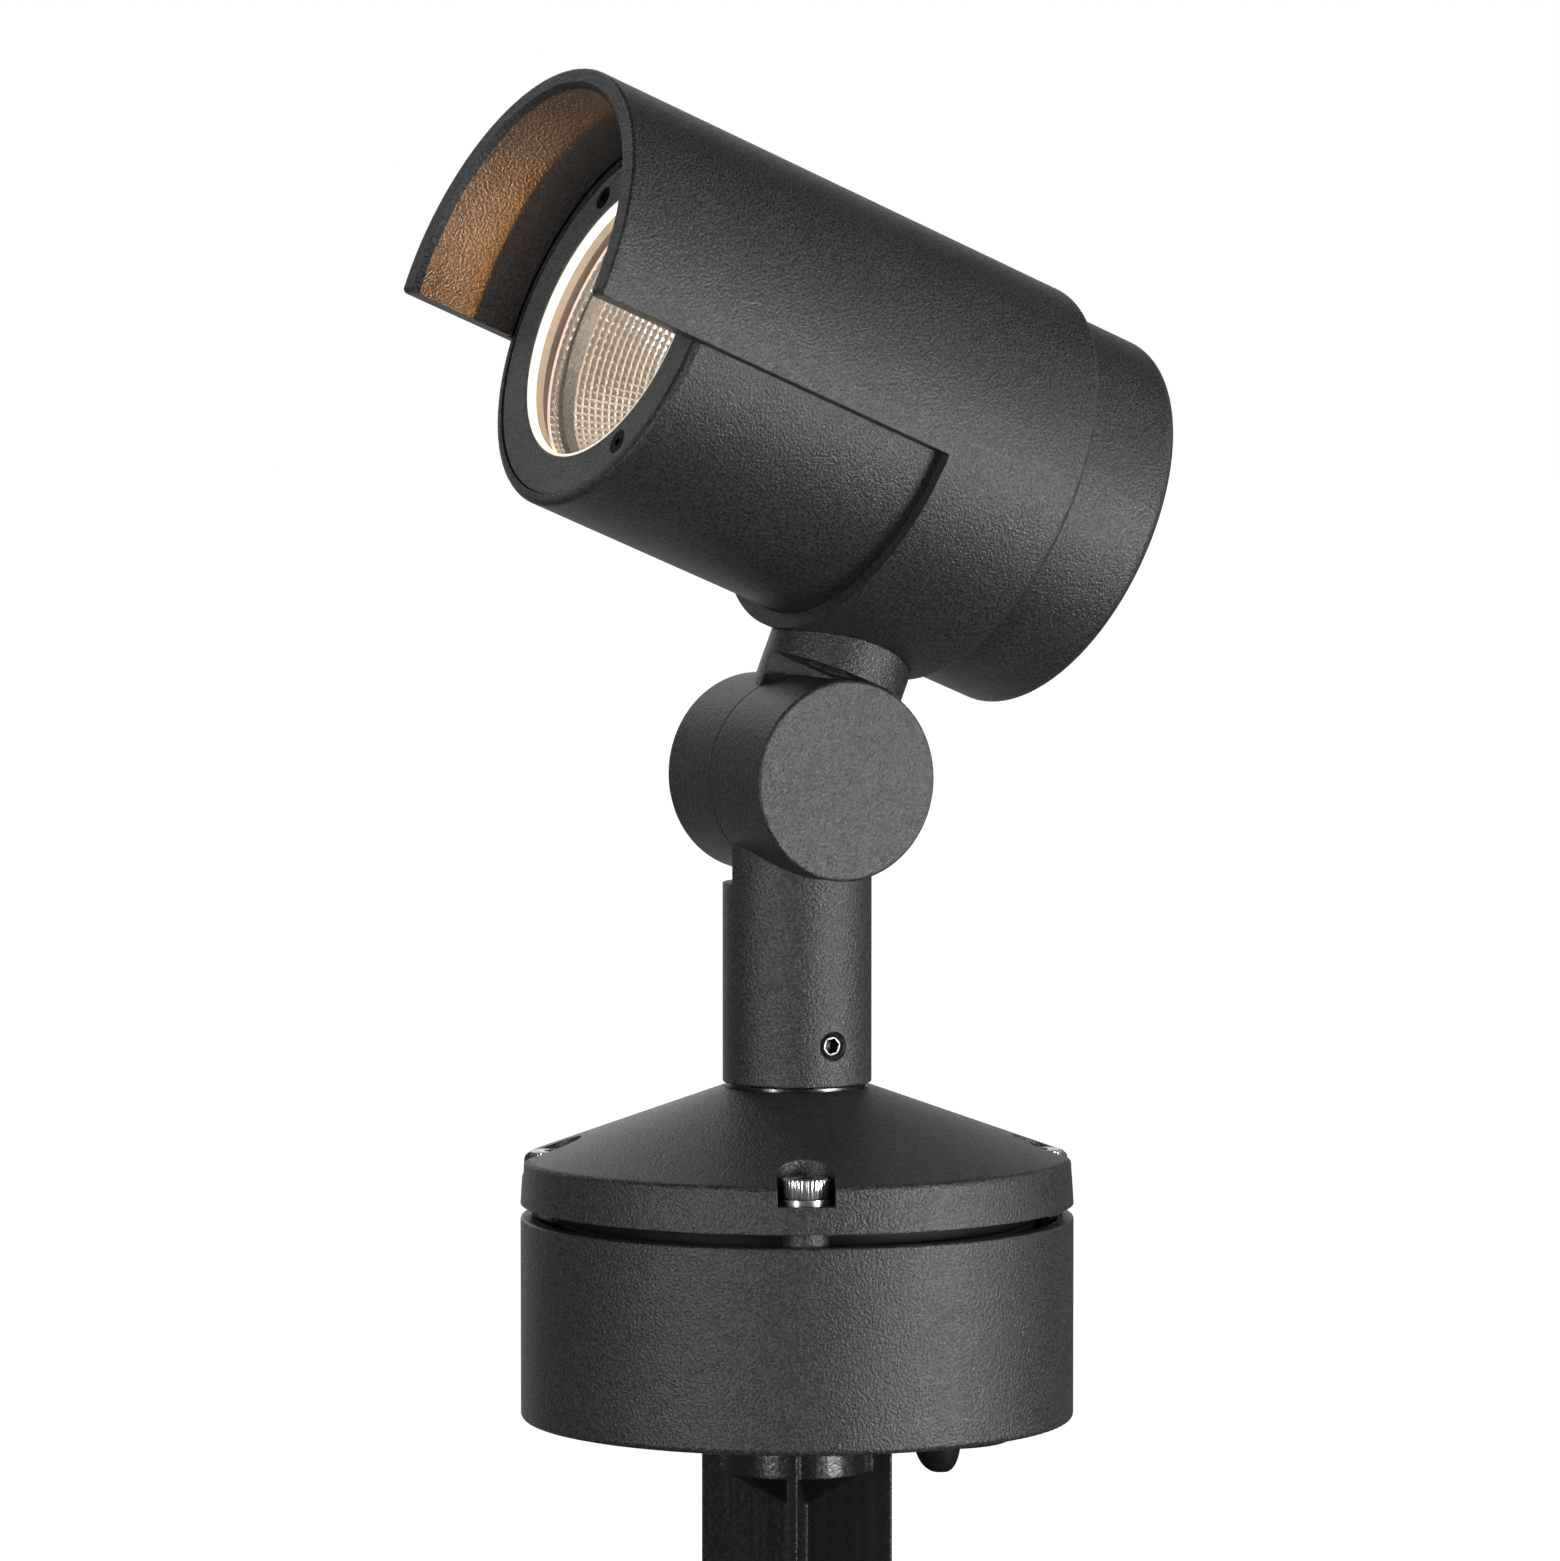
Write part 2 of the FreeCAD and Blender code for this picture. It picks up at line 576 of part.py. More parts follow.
def cable_grommet():
    body = turned([
        (0, -GROMMET_FLANGE_T),
        (GROMMET_FLANGE_R, -GROMMET_FLANGE_T, GROMMET_FLANGE_T * 0.6),
        (GROMMET_FLANGE_R, 0),
        (GROMMET_NECK_R - RUNNING, 0),
        (GROMMET_NECK_R - RUNNING, BOX_FLOOR),
        (GROMMET_LIP_R, BOX_FLOOR),
        (GROMMET_LIP_R - 1.0, BOX_FLOOR + GROMMET_LIP_T),
        (NIPPLE_R - 1.0, BOX_FLOOR + GROMMET_LIP_T),
        (NIPPLE_R - 1.0, -GROMMET_FLANGE_T * 0.4),
        (0, -GROMMET_FLANGE_T * 0.4),
    ])
    # dome of the nipple: circles that follow a quarter ellipse while the centre drifts outwards
    circles = []
    for step in range(6):
        turn = radians(step * 15)
        drop = NIPPLE_H * sin(turn)
        centre = V(NIPPLE_LEAN * (1 - cos(turn)), 0, 0.2 - GROMMET_FLANGE_T - drop)
        circles.append(Part.Wire(Part.makeCircle(NIPPLE_R * cos(turn) ** 0.8, centre)))
    dome = Part.makeLoft(circles, True)
    grommet = body.fuse(dome)
    grommet.rotate(V(0, 0, 0), V(0, 0, 1), GROMMET_ANGLE)
    grommet.translate(polar(GROMMET_PITCH_R, GROMMET_ANGLE))
    return grommet


def blade_side_view():
    """Outline of a blade pair from the side, as a thick slab to cut the blades with."""
    depth = BLADE_R + BITE
    corners = [
        V(-BLADE_R, -depth, 0),
        V(BLADE_R, -depth, 0),
        V(BLADE_R, -depth, -SPIKE_STRAIGHT),
        V(BLADE_POINT_R, -depth, -SPIKE_LENGTH),
        V(-BLADE_POINT_R, -depth, -SPIKE_LENGTH),
        V(-BLADE_R, -depth, -SPIKE_STRAIGHT),
    ]
    rounding = [0, 0, BLADE_R * 2, BLADE_POINT_R * 0.8, BLADE_POINT_R * 0.8, BLADE_R * 2]
    face = Part.Face(rounded_path(corners, rounding, True))
    return face.extrude(V(0, 2 * depth, 0))


def blade_pair():
    """Two opposite blades, thick at the core and thin at the edge."""
    root, edge = BLADE_ROOT_T / 2, BLADE_EDGE_T / 2
    section = [(-BLADE_R, -edge), (0, -root), (BLADE_R, -edge),
               (BLADE_R, edge), (0, root), (-BLADE_R, edge)]
    points = [V(x, y, -SPIKE_LENGTH) for x, y in section + section[:1]]
    bar = Part.Face(Part.makePolygon(points)).extrude(V(0, 0, SPIKE_LENGTH))
    return bar.common(blade_side_view())


def spike():
    core_end = -SPIKE_BOSS_H - SPIKE_CONE_H
    boss = turned([
        (0, 0),
        (SPIKE_BOSS_R, 0),
        (SPIKE_BOSS_R, -SPIKE_BOSS_H),
        (SPIKE_CORE_R, core_end),
        (0, core_end),
    ])
    across = blade_pair()
    across.rotate(V(0, 0, 0), V(0, 0, 1), 90)
    body = joined([boss, blade_pair(), across], CROSSING_TOLERANCE)
    body = body.cut(cylinder(INSERT_R + RUNNING, -INSERT_H, BITE))
    body.rotate(V(0, 0, 0), V(0, 0, 1), SPIKE_ANGLE)
    return body


def spike_insert():
    return ring(INSERT_R, SPIKE_BOLT_R + RUNNING, -INSERT_H, 0)


def spike_washer():
    return ring(SPIKE_WASHER_R, SPIKE_BOLT_R + RUNNING, BOX_FLOOR, BOX_FLOOR + SPIKE_WASHER_T)


def spike_bolt():
    seat = BOX_FLOOR + SPIKE_WASHER_T
    head = hexagon(SPIKE_BOLT_HEAD_FLATS, seat, seat + SPIKE_BOLT_HEAD_H)
    return joined([head, cylinder(SPIKE_BOLT_R, SPIKE_BOLT_SPARE - INSERT_H, seat + BITE)])


def terminal_place(shape):
    """From the terminals' own frame (x radial, y across, z up from the floor) to the box."""
    copy = moved(shape, V(TERMINAL_PITCH_R, 0, BOX_FLOOR))
    copy.rotate(V(0, 0, 0), V(0, 0, 1), TERMINAL_ANGLE)
    return copy


def terminal_fixings(shape):
    """A shape drawn on the Z axis, repeated at the two fixing screws of the terminals."""
    offset = TERMINAL_W / 2 + TERMINAL_EAR / 2
    places = []
    for side in (-1, 1):
        copy = moved(shape, V(TERMINAL_PITCH_R, side * offset, 0))
        copy.rotate(V(0, 0, 0), V(0, 0, 1), TERMINAL_ANGLE)
        places.append(copy)
    return places


def terminal_block():
    half = TERMINAL_W / 2
    body = block(-TERMINAL_D / 2, TERMINAL_D / 2, -half, half, 0, TERMINAL_H)
    top = [e for e in body.Edges if e.BoundBox.ZMin > TERMINAL_H - BITE and e.BoundBox.YLength > half]
    body = body.makeChamfer(TERMINAL_CHAMFER, top)
    ears = block(-TERMINAL_EAR_W / 2, TERMINAL_EAR_W / 2, -half - TERMINAL_EAR, half + TERMINAL_EAR,
                 0, TERMINAL_EAR_T)
    body = joined([body, ears])
    cuts = []
    for pole in (-1, 0, 1):
        y = pole * TERMINAL_PITCH
        cuts.append(cylinder(TERMINAL_WELL_R, TERMINAL_H - TERMINAL_WELL_DEPTH, TERMINAL_H + BITE, y=y))
        for side in (-1, 1):
            reach = sorted((side * TERMINAL_D / 2 * 0.45, side * (TERMINAL_D / 2 + BITE)))
            cuts.append(x_cylinder(TERMINAL_WIRE_R, reach[0], reach[1], y, TERMINAL_WIRE_Z / 2))
    for side in (-1, 1):
        ear_y = side * (half + TERMINAL_EAR / 2)
        cuts.append(cylinder(FIX_SCREW_R + SLIP, -BITE, TERMINAL_EAR_T + BITE, y=ear_y))
    return terminal_place(body.cut(Part.makeCompound(cuts)))


def terminal_screws():
    screws = []
    floor = TERMINAL_H - TERMINAL_WELL_DEPTH
    for pole in (-1, 0, 1):
        screw = turned([(0, 0), (TERMINAL_WELL_R - SLIP, 0),
                        (TERMINAL_WELL_R - SLIP, TERMINAL_SCREW_H, 0.3), (0, TERMINAL_SCREW_H)])
        slot = block(-SLOT_W / 2, SLOT_W / 2, -BOX_R, BOX_R, TERMINAL_SCREW_H - SLOT_DEPTH,
                     TERMINAL_SCREW_H + BITE)
        screws.append(terminal_place(moved(screw.cut(slot), V(0, pole * TERMINAL_PITCH, floor))))
    return Part.makeCompound(screws)


def terminal_fixing_screws():
    seat = BOX_FLOOR + TERMINAL_EAR_T
    length = TERMINAL_EAR_T + FIX_SCREW_IN_FLOOR - SLIP
    screw = pan_screw(FIX_SCREW_R, length, TERMINAL_EAR / 2, FIX_SCREW_HEAD_H)
    return Part.makeCompound(terminal_fixings(moved(screw, V(0, 0, seat))))


def earth_screw():
    screw = pan_screw(EARTH_SCREW_R, EARTH_SCREW_DEPTH, EARTH_HEAD_R, EARTH_HEAD_H)
    return moved(screw, polar(EARTH_PITCH_R, EARTH_ANGLE, BOX_FLOOR + EARTH_BOSS_H))


def swivel_spigot():
    groove_z = STEM_Z + SET_SCREW_RISE
    half = SPIGOT_GROOVE_H / 2
    return turned([
        (SPIGOT_BORE_R, HUB_Z - SPIGOT_TAIL),
        (SPIGOT_R, HUB_Z - SPIGOT_TAIL),
        (SPIGOT_R, LID_TOP),
        (SPIGOT_FLANGE_R, LID_TOP),
        (SPIGOT_FLANGE_R, LID_TOP + SPIGOT_FLANGE_T),
        (SPIGOT_R, LID_TOP + SPIGOT_FLANGE_T),
        (SPIGOT_R, groove_z - half),
        (SPIGOT_GROOVE_R, groove_z - half + 0.5),
        (SPIGOT_GROOVE_R, groove_z + half - 0.5),
        (SPIGOT_R, groove_z + half),
        (SPIGOT_R, SPIGOT_TOP),
        (SPIGOT_BORE_R, SPIGOT_TOP),
    ])


def spigot_seal():
    return ring(SPIGOT_SEAL_R, SPIGOT_R + RUNNING, HUB_Z - SPIGOT_SEAL_T, HUB_Z)


def spigot_nut():
    top = HUB_Z - SPIGOT_SEAL_T
    bore = cylinder(SPIGOT_R + RUNNING, top - SPIGOT_NUT_H - BITE, top + BITE)
    return hexagon(SPIGOT_NUT_FLATS, top - SPIGOT_NUT_H, top).cut(bore)


def base_lead():
    """From the terminals up the middle of the spigot, as far as the swivel joint."""
    level = BOX_FLOOR + SPIKE_WASHER_T + SPIKE_BOLT_HEAD_H + LEAD_R + BITE
    start = polar(TERMINAL_PITCH_R - TERMINAL_D / 2, TERMINAL_ANGLE, level)
    return tube([start, V(0, 0, level), V(0, 0, SPIGOT_TOP)], bend=2 * LEAD_BEND)


# ---- stem -------------------------------------------------------------------------------
def at_pivot(shape):
    return moved(shape, V(0, 0, PIVOT_Z))


def wire_ring(x0, x1):
    """Ring-shaped wire space round the pivot axis."""
    return x_cylinder(WIRE_RING_OUT, x0, x1).cut(x_cylinder(WIRE_RING_IN, x0 - BITE, x1 + BITE))


def disc(thickness, rounding):
    """Knuckle disc from its flat inner face at x = 0 towards +X, rounded at the outer edge."""
    profile = [(0, 0), (KNUCKLE_R, 0), (KNUCKLE_R, thickness, rounding), (0, thickness)]
    return facing(turned(profile), V(1, 0, 0))


def stem():
    post = turned([(0, STEM_Z), (STEM_R, STEM_Z, 0.3), (STEM_R, PIVOT_Z), (0, PIVOT_Z)])
    past = STEM_R + BITE
    post = post.cut(block(-past, SEAM, -past, past, SHOULDER_Z, PIVOT_Z + BITE))
    fixed = at_pivot(moved(disc(FIXED_DISC_T - SEAM, DISC_ROUND), V(SEAM, 0, 0)))
    body = joined([post, fixed])

    bore_top = SPIGOT_TOP + STEM_BORE_SPARE
    slot_top = SHOULDER_Z - LEAD_R - BITE
    groove_in = O_RING_R - O_RING_WIRE_R - O_RING_GROOVE
    groove_out = O_RING_R + O_RING_WIRE_R + O_RING_GROOVE
    groove_depth = 2 * O_RING_WIRE_R + O_RING_GROOVE
    groove = x_cylinder(groove_out, SEAM - BITE, SEAM + groove_depth).cut(
        x_cylinder(groove_in, SEAM - 2 * BITE, SEAM + 2 * groove_depth))
    cuts = [
        cylinder(SPIGOT_R + RUNNING, STEM_Z - BITE, bore_top),
        cylinder(LEAD_CHANNEL_R, bore_top - BITE, slot_top),
        cylinder(LEAD_CHANNEL_R, bore_top - BITE, PIVOT_Z - WIRE_RING_MID, x=LEAD_X),
        block(0, LEAD_X, -LEAD_R - RUNNING, LEAD_R + RUNNING, bore_top - BITE, slot_top),
        at_pivot(wire_ring(SEAM - BITE, SEAM + WIRE_RING_DEPTH)),
        at_pivot(groove),
        at_pivot(x_cylinder(PIVOT_BOLT_R + RUNNING, -BITE, bolt_end() + BITE)),
        x_cylinder(SET_SCREW_R + RUNNING, 0, past, z=STEM_Z + SET_SCREW_RISE),
        set_screw_sink(),
    ]
    return body.cut(Part.makeCompound(cuts))


def set_screw_sink():
    """Countersink that meets the outside of the stem at its full radius."""
    depth = SET_SCREW_SINK_R - SET_SCREW_R - RUNNING
    sink = turned([
        (0, STEM_R - 2 * depth),
        (SET_SCREW_R + RUNNING, STEM_R - 2 * depth),
        (SET_SCREW_SINK_R, STEM_R - depth),
        (SET_SCREW_SINK_R, STEM_R + BITE),
        (0, STEM_R + BITE),
    ])
    return moved(facing(sink, V(1, 0, 0)), V(0, 0, STEM_Z + SET_SCREW_RISE))


def stem_set_screw():
    tip = SPIGOT_GROOVE_R + BODY_GAP
    end = STEM_R - SET_SCREW_RECESS
    screw = turned([(0, tip), (SET_SCREW_R, tip, 0.4), (SET_SCREW_R, end, 0.2), (0, end)])
    screw = screw.cut(hexagon(SET_SCREW_SOCKET, end - SET_SCREW_SOCKET_DEPTH, end + BITE))
    return moved(facing(screw, V(1, 0, 0)), V(0, 0, STEM_Z + SET_SCREW_RISE))


def knuckle_o_ring():
    hoop = Part.makeTorus(O_RING_R, O_RING_WIRE_R, V(0, 0, 0), V(1, 0, 0))
    return at_pivot(moved(hoop, V(SEAM + O_RING_WIRE_R - SEAM / 2, 0, 0)))


def washer_x():
    """Outer face of the pivot washer, where the bolt head bears."""
    return -ARM_DISC_T + PIVOT_POCKET_DEPTH - PIVOT_WASHER_T


def bolt_end():
    return washer_x() + PIVOT_BOLT_GRIP


def pivot_bolt():
    bolt = cap_screw(PIVOT_BOLT_R, PIVOT_BOLT_GRIP, PIVOT_HEAD_R, PIVOT_HEAD_H, PIVOT_SOCKET,
                     PIVOT_SOCKET_DEPTH)
    return at_pivot(moved(facing(bolt, V(-1, 0, 0)), V(washer_x() - SLIP, 0, 0)))


def stem_lead():
    """From the swivel joint through the stem to the parting face of the knuckle."""
    cross_z = PIVOT_Z - WIRE_RING_MID
    bend_z = SPIGOT_TOP + 3 * LEAD_R
    points = [
        V(0, 0, SPIGOT_TOP),
        V(0, 0, bend_z),
        V(LEAD_X, 0, SHOULDER_Z - 3 * LEAD_R),
        V(LEAD_X, 0, cross_z),
        V(SEAM, 0, cross_z),
    ]
    return tube(points)


# ---- head: arm and hood -----------------------------------------------------------------
def arm_screw_places(shape):
    """A shape drawn along the head's y axis, repeated at the two arm screws."""
    return [moved(shape, V(ARM_SCREW_X, 0, side * ARM_SCREW_PITCH / 2)) for side in (-1, 1)]


def arm_screw(grow=0.0):
    """Countersunk screw along +y from the step of the neck; grow makes its hole."""
    seat = PIVOT_Y + NECK_STEP
    start = seat - (BITE if grow else 0.0)
    head = turned([(0, 0), (ARM_SCREW_HEAD_R + grow, 0), (ARM_SCREW_R + grow, ARM_SCREW_HEAD_H),
                   (0, ARM_SCREW_HEAD_H)])
    head = moved(facing(head, V(0, 1, 0)), V(0, seat, 0))
    shank = y_cylinder(ARM_SCREW_R + grow, start + BITE / 2, seat + ARM_SCREW_LENGTH + grow)
    return head.fuse(shank)


def tilt_arm():
    moving = facing(turned([(0, 0), (KNUCKLE_R, 0), (KNUCKLE_R, ARM_DISC_T - SEAM, DISC_ROUND),
                            (0, ARM_DISC_T - SEAM)]), V(-1, 0, 0))
    moving = moved(moving, V(-SEAM, PIVOT_Y, 0))
    neck = y_cylinder(NECK_R, PIVOT_Y, -HOOD_IN_R + BITE)
    past = NECK_R + BITE
    neck = neck.cut(block(-SEAM, past, PIVOT_Y - BITE, PIVOT_Y + NECK_STEP, -past, past))
    body = joined([moving, neck])
    body = body.cut(cylinder(HOOD_R + RUNNING, HOOD_REAR, HOOD_FRONT))

    ring_space = moved(wire_ring(-SEAM - WIRE_RING_DEPTH, -SEAM + BITE), V(0, PIVOT_Y, 0))
    pocket_x = -ARM_DISC_T + PIVOT_POCKET_DEPTH
    cuts = [
        ring_space,
        x_cylinder(PIVOT_BOLT_R + RUNNING, -ARM_DISC_T - BITE, BITE, y=PIVOT_Y),
        x_cylinder(PIVOT_POCKET_R, -ARM_DISC_T - BITE, pocket_x, y=PIVOT_Y),
        y_cylinder(LEAD_CHANNEL_R, PIVOT_Y + WIRE_RING_MID, -HOOD_IN_R, x=LEAD_ARM_X),
    ]
    cuts += arm_screw_places(arm_screw(RUNNING))
    return in_head(body.cut(Part.makeCompound(cuts)))


def pivot_washer():
    face = washer_x() + PIVOT_WASHER_T
    hoop = x_cylinder(PIVOT_WASHER_R, washer_x(), face, y=PIVOT_Y)
    return in_head(hoop.cut(x_cylinder(PIVOT_BOLT_R + RUNNING, washer_x() - BITE, face + BITE,
                                       y=PIVOT_Y)))


def arm_screws():
    return in_head(Part.makeCompound(arm_screw_places(arm_screw())))


def hood_side_view():
    """The hood seen from the side: a full tube behind, only its upper part in front."""
    past = HOOD_R + BITE
    corners = [
        (-past, HOOD_REAR, 0),
        (-past, HOOD_CUT_S, 0),
        (HOOD_CUT_Y, HOOD_CUT_S, HOOD_EDGE_ROUND),
        (HOOD_CUT_Y, HOOD_FRONT, HOOD_CORNER_ROUND),
        (past, HOOD_FRONT, 0),
        (past, HOOD_REAR, 0),
    ]
    points = [V(-past, y, z) for y, z, _ in corners]
    face = Part.Face(rounded_path(points, [c[2] for c in corners], True))
    return face.extrude(V(2 * past, 0, 0))


def hood_mouth(spread, low, high):
    """Oval bar that opens the thicker front of the hood; spread widens it at the high end."""
    ovals = []
    for grow, s in ((0.0, low), (spread, high)):
        oval = Part.Ellipse(V(0, MOUTH_Y + grow, s), V(MOUTH_X + grow, 0, s), V(0, 0, s))
        ovals.append(Part.Wire(oval.toShape()))
    return Part.makeLoft(ovals, True, True)


def glare_hood():
    bar = turned([
        (0, HOOD_REAR),
        (HOOD_R, HOOD_REAR, HOOD_REAR_ROUND),
        (HOOD_R, HOOD_FRONT, HOOD_EDGE_ROUND),
        (0, HOOD_FRONT),
    ])
    shoulder = HOUSING_FRONT + MOUTH_GAP
    bore = cylinder(HOOD_IN_R, HOOD_REAR - BITE, shoulder)
    mouth = hood_mouth(0.0, shoulder - BITE, HOOD_FRONT + BITE)
    bevel = hood_mouth(MOUTH_BEVEL + BITE, HOOD_FRONT - MOUTH_BEVEL, HOOD_FRONT + BITE)
    hood = bar.cut(Part.makeCompound([bore, mouth, bevel])).common(hood_side_view())
    cuts = [y_cylinder(LEAD_CHANNEL_R, -HOOD_R - BITE, -HOOD_IN_R + BITE * 2, x=LEAD_ARM_X)]
    cuts += arm_screw_places(arm_screw(RUNNING))
    return in_head(hood.cut(Part.makeCompound(cuts)))


# ---- head: housing and rear cover -------------------------------------------------------
def lamp_housing():
    bore = HOUSING_R - HOUSING_WALL
    barrel = turned([
        (0, WEB_S),
        (bore, WEB_S, WEB_ROUND_REAR),
        (bore, HOUSING_REAR),
        (HOUSING_R, HOUSING_REAR),
        (HOUSING_R, HOUSING_FRONT, HOUSING_LIP_ROUND),
        (BEZEL_R + BEZEL_GAP, HOUSING_FRONT),
        (BEZEL_R + BEZEL_GAP, BEZEL_BACK),
        (GLASS_R + SLIP, BEZEL_BACK),
        (GLASS_R + SLIP, LEDGE_S),
        (LEDGE_R, LEDGE_S),
        (LEDGE_R, FRONT_RING_S),
        (bore, FRONT_RING_S - (bore - LEDGE_R)),
        (bore, WEB_FRONT, WEB_ROUND_FRONT),
        (0, WEB_FRONT),
    ])
    pad = block(-PAD_X, PAD_X, -HOUSING_R, PAD_TOP_Y, PAD_S0, PAD_S1)
    pad = pad.common(cylinder(HOUSING_R - HOUSING_WALL / 2, PAD_S0, PAD_S1))
    body = joined([barrel, pad])
    cuts = [y_cylinder(GLAND_R, -HOUSING_R - BITE, PAD_TOP_Y + BITE, x=LEAD_ARM_X)]
    cuts += arm_screw_places(arm_screw(RUNNING))
    board_hole = cylinder(FIX_SCREW_R + RUNNING, WEB_S - BITE, WEB_S + WEB_T * 0.6, x=STANDOFF_PITCH_R)
    cuts += around(board_hole, STANDOFF_COUNT, 90)
    led_hole = cylinder(LED_SCREW_R + RUNNING, WEB_FRONT - LED_SCREW_IN_WEB - SLIP,
                        WEB_FRONT + BITE, x=LED_SCREW_PITCH_R)
    cuts += around(led_hole, 2)
    for side in (-1, 1):
        cuts.append(cylinder(LED_LEAD_R * 2, WEB_S - BITE, WEB_FRONT + BITE, side * LED_LEAD_X, LED_LEAD_Y))
    screw_end = BEZEL_FRONT - BEZEL_POCKET_DEPTH - BEZEL_SCREW_L
    screw_hole = cylinder(BEZEL_SCREW_R + RUNNING, screw_end - SLIP, BEZEL_FRONT, x=BEZEL_SCREW_PITCH_R)
    cuts += around(screw_hole, 2, BEZEL_SCREW_ANGLE)
    return in_head(body.cut(Part.makeCompound(cuts)))


def lead_gland():
    top = PAD_TOP_Y + GLAND_FLANGE_T
    sleeve = y_cylinder(GLAND_R - RUNNING, -HOUSING_R, top, x=LEAD_ARM_X)
    sleeve = sleeve.common(cylinder(HOUSING_R, PAD_S0, PAD_S1))
    flange = y_cylinder(GLAND_FLANGE_R, PAD_TOP_Y, top, x=LEAD_ARM_X)
    bore = y_cylinder(LEAD_R + RUNNING, -HOUSING_R - BITE, top + BITE, x=LEAD_ARM_X)
    return in_head(joined([sleeve, flange]).cut(bore))


def rear_cover():
    spigot_r = HOUSING_R - HOUSING_WALL - SLIP
    spigot_end = HOUSING_REAR + COVER_SPIGOT_L
    groove_bottom = spigot_r - 2 * COVER_RING_R
    cover = turned([
        (0, COVER_REAR),
        (HOUSING_R, COVER_REAR, COVER_ROUND),
        (HOUSING_R, HOUSING_REAR),
        (spigot_r, HOUSING_REAR),
        (spigot_r, COVER_RING_S - COVER_RING_R - RUNNING),
        (groove_bottom, COVER_RING_S - COVER_RING_R - RUNNING),
        (groove_bottom, COVER_RING_S + COVER_RING_R + RUNNING),
        (spigot_r, COVER_RING_S + COVER_RING_R + RUNNING),
        (spigot_r, spigot_end),
        (spigot_r - COVER_SPIGOT_WALL, spigot_end),
        (spigot_r - COVER_SPIGOT_WALL, COVER_REAR + COVER_WALL, 1.0),
        (0, COVER_REAR + COVER_WALL),
    ])
    return in_head(cover)


def rear_o_ring():
    hoop_r = HOUSING_R - HOUSING_WALL - SLIP - COVER_RING_R + RUNNING / 2
    return in_head(Part.makeTorus(hoop_r, COVER_RING_R - RUNNING / 4, V(0, 0, COVER_RING_S)))


# ---- head: front ------------------------------------------------------------------------
def front_bezel():
    face = turned([
        (BEZEL_IN_R, BEZEL_BACK),
        (BEZEL_R, BEZEL_BACK),
        (BEZEL_R, BEZEL_FRONT, BEZEL_ROUND),
        (BEZEL_IN_R, BEZEL_FRONT, BEZEL_ROUND),
    ])
    floor = BEZEL_FRONT - BEZEL_POCKET_DEPTH
    pocket = cylinder(BEZEL_SCREW_HEAD_R + SLIP, floor, BEZEL_FRONT + BITE, x=BEZEL_SCREW_PITCH_R)
    hole = cylinder(BEZEL_SCREW_R + RUNNING, BEZEL_BACK - BITE, floor + BITE, x=BEZEL_SCREW_PITCH_R)
    cuts = around(pocket, 2, BEZEL_SCREW_ANGLE) + around(hole, 2, BEZEL_SCREW_ANGLE)
    return in_head(face.cut(Part.makeCompound(cuts)))


def bezel_screws():
    screw = cap_screw(BEZEL_SCREW_R, BEZEL_SCREW_L, BEZEL_SCREW_HEAD_R, BEZEL_SCREW_HEAD_H,
                      BEZEL_SOCKET, BEZEL_SCREW_HEAD_H * 0.7)
    screw.translate(V(BEZEL_SCREW_PITCH_R, 0, BEZEL_FRONT - BEZEL_POCKET_DEPTH))
    return in_head(Part.makeCompound(around(screw, 2, BEZEL_SCREW_ANGLE)))


def bezel_seal():
    """Clear silicone seal: a flange on the glass and a lip that lines the bezel opening."""
    lip_out = BEZEL_IN_R - RUNNING
    lip_in = lip_out - SEAL_LIP_T
    seal = turned([
        (lip_in, GLASS_FRONT),
        (GLASS_R, GLASS_FRONT),
        (GLASS_R, BEZEL_BACK),
        (lip_out, BEZEL_BACK),
        (lip_out, BEZEL_FRONT - BEZEL_ROUND),
        (lip_in, BEZEL_FRONT - BEZEL_ROUND),
    ])
    return in_head(seal)


def front_glass():
    return in_head(cylinder(GLASS_R, GLASS_BACK, GLASS_FRONT))


def glass_gasket():
    return in_head(ring(GLASS_R, GASKET_RING_IN_R, REFLECTOR_FRONT, GLASS_BACK))


def bowl_radius(s):
    """Inner radius of the parabolic reflector at a place along the axis."""
    rise = (s - HOLDER_FRONT) / (REFLECTOR_FRONT - HOLDER_FRONT)
    return sqrt(REFLECTOR_THROAT_R ** 2 + rise * (REFLECTOR_RIM_R ** 2 - REFLECTOR_THROAT_R ** 2))


def facet_form(thicken):
    """Bowl made of flat facets: polygons on a parabola, joined by straight strips."""
    wires = []
    for step in range(REFLECTOR_STEPS + 1):
        s = HOLDER_FRONT + (REFLECTOR_FRONT - HOLDER_FRONT) * (step / REFLECTOR_STEPS) ** 1.3
        radius = bowl_radius(s) + thicken
        turn = 360 / REFLECTOR_SIDES
        wires.append(Part.makePolygon([polar(radius, turn * i, s) for i in range(REFLECTOR_SIDES + 1)]))
    return Part.makeLoft(wires, True, True)


def reflector():
    flange = cylinder(GLASS_R - SLIP, LEDGE_S, REFLECTOR_FRONT)
    shell = facet_form(REFLECTOR_T).fuse(flange)
    return in_head(shell.cut(facet_form(0.0)))


# ---- head: light source and driver ------------------------------------------------------
def led_board():
    board = cylinder(LED_BOARD_R, WEB_FRONT, EMITTER_S)
    hole = cylinder(LED_SCREW_R + RUNNING, WEB_FRONT - BITE, EMITTER_S + BITE, x=LED_SCREW_PITCH_R)
    holes = around(hole, 2)
    return in_head(board.cut(Part.makeCompound(holes)))


def led_screw_seat():
    return HOLDER_FRONT - LED_SCREW_HEAD_H


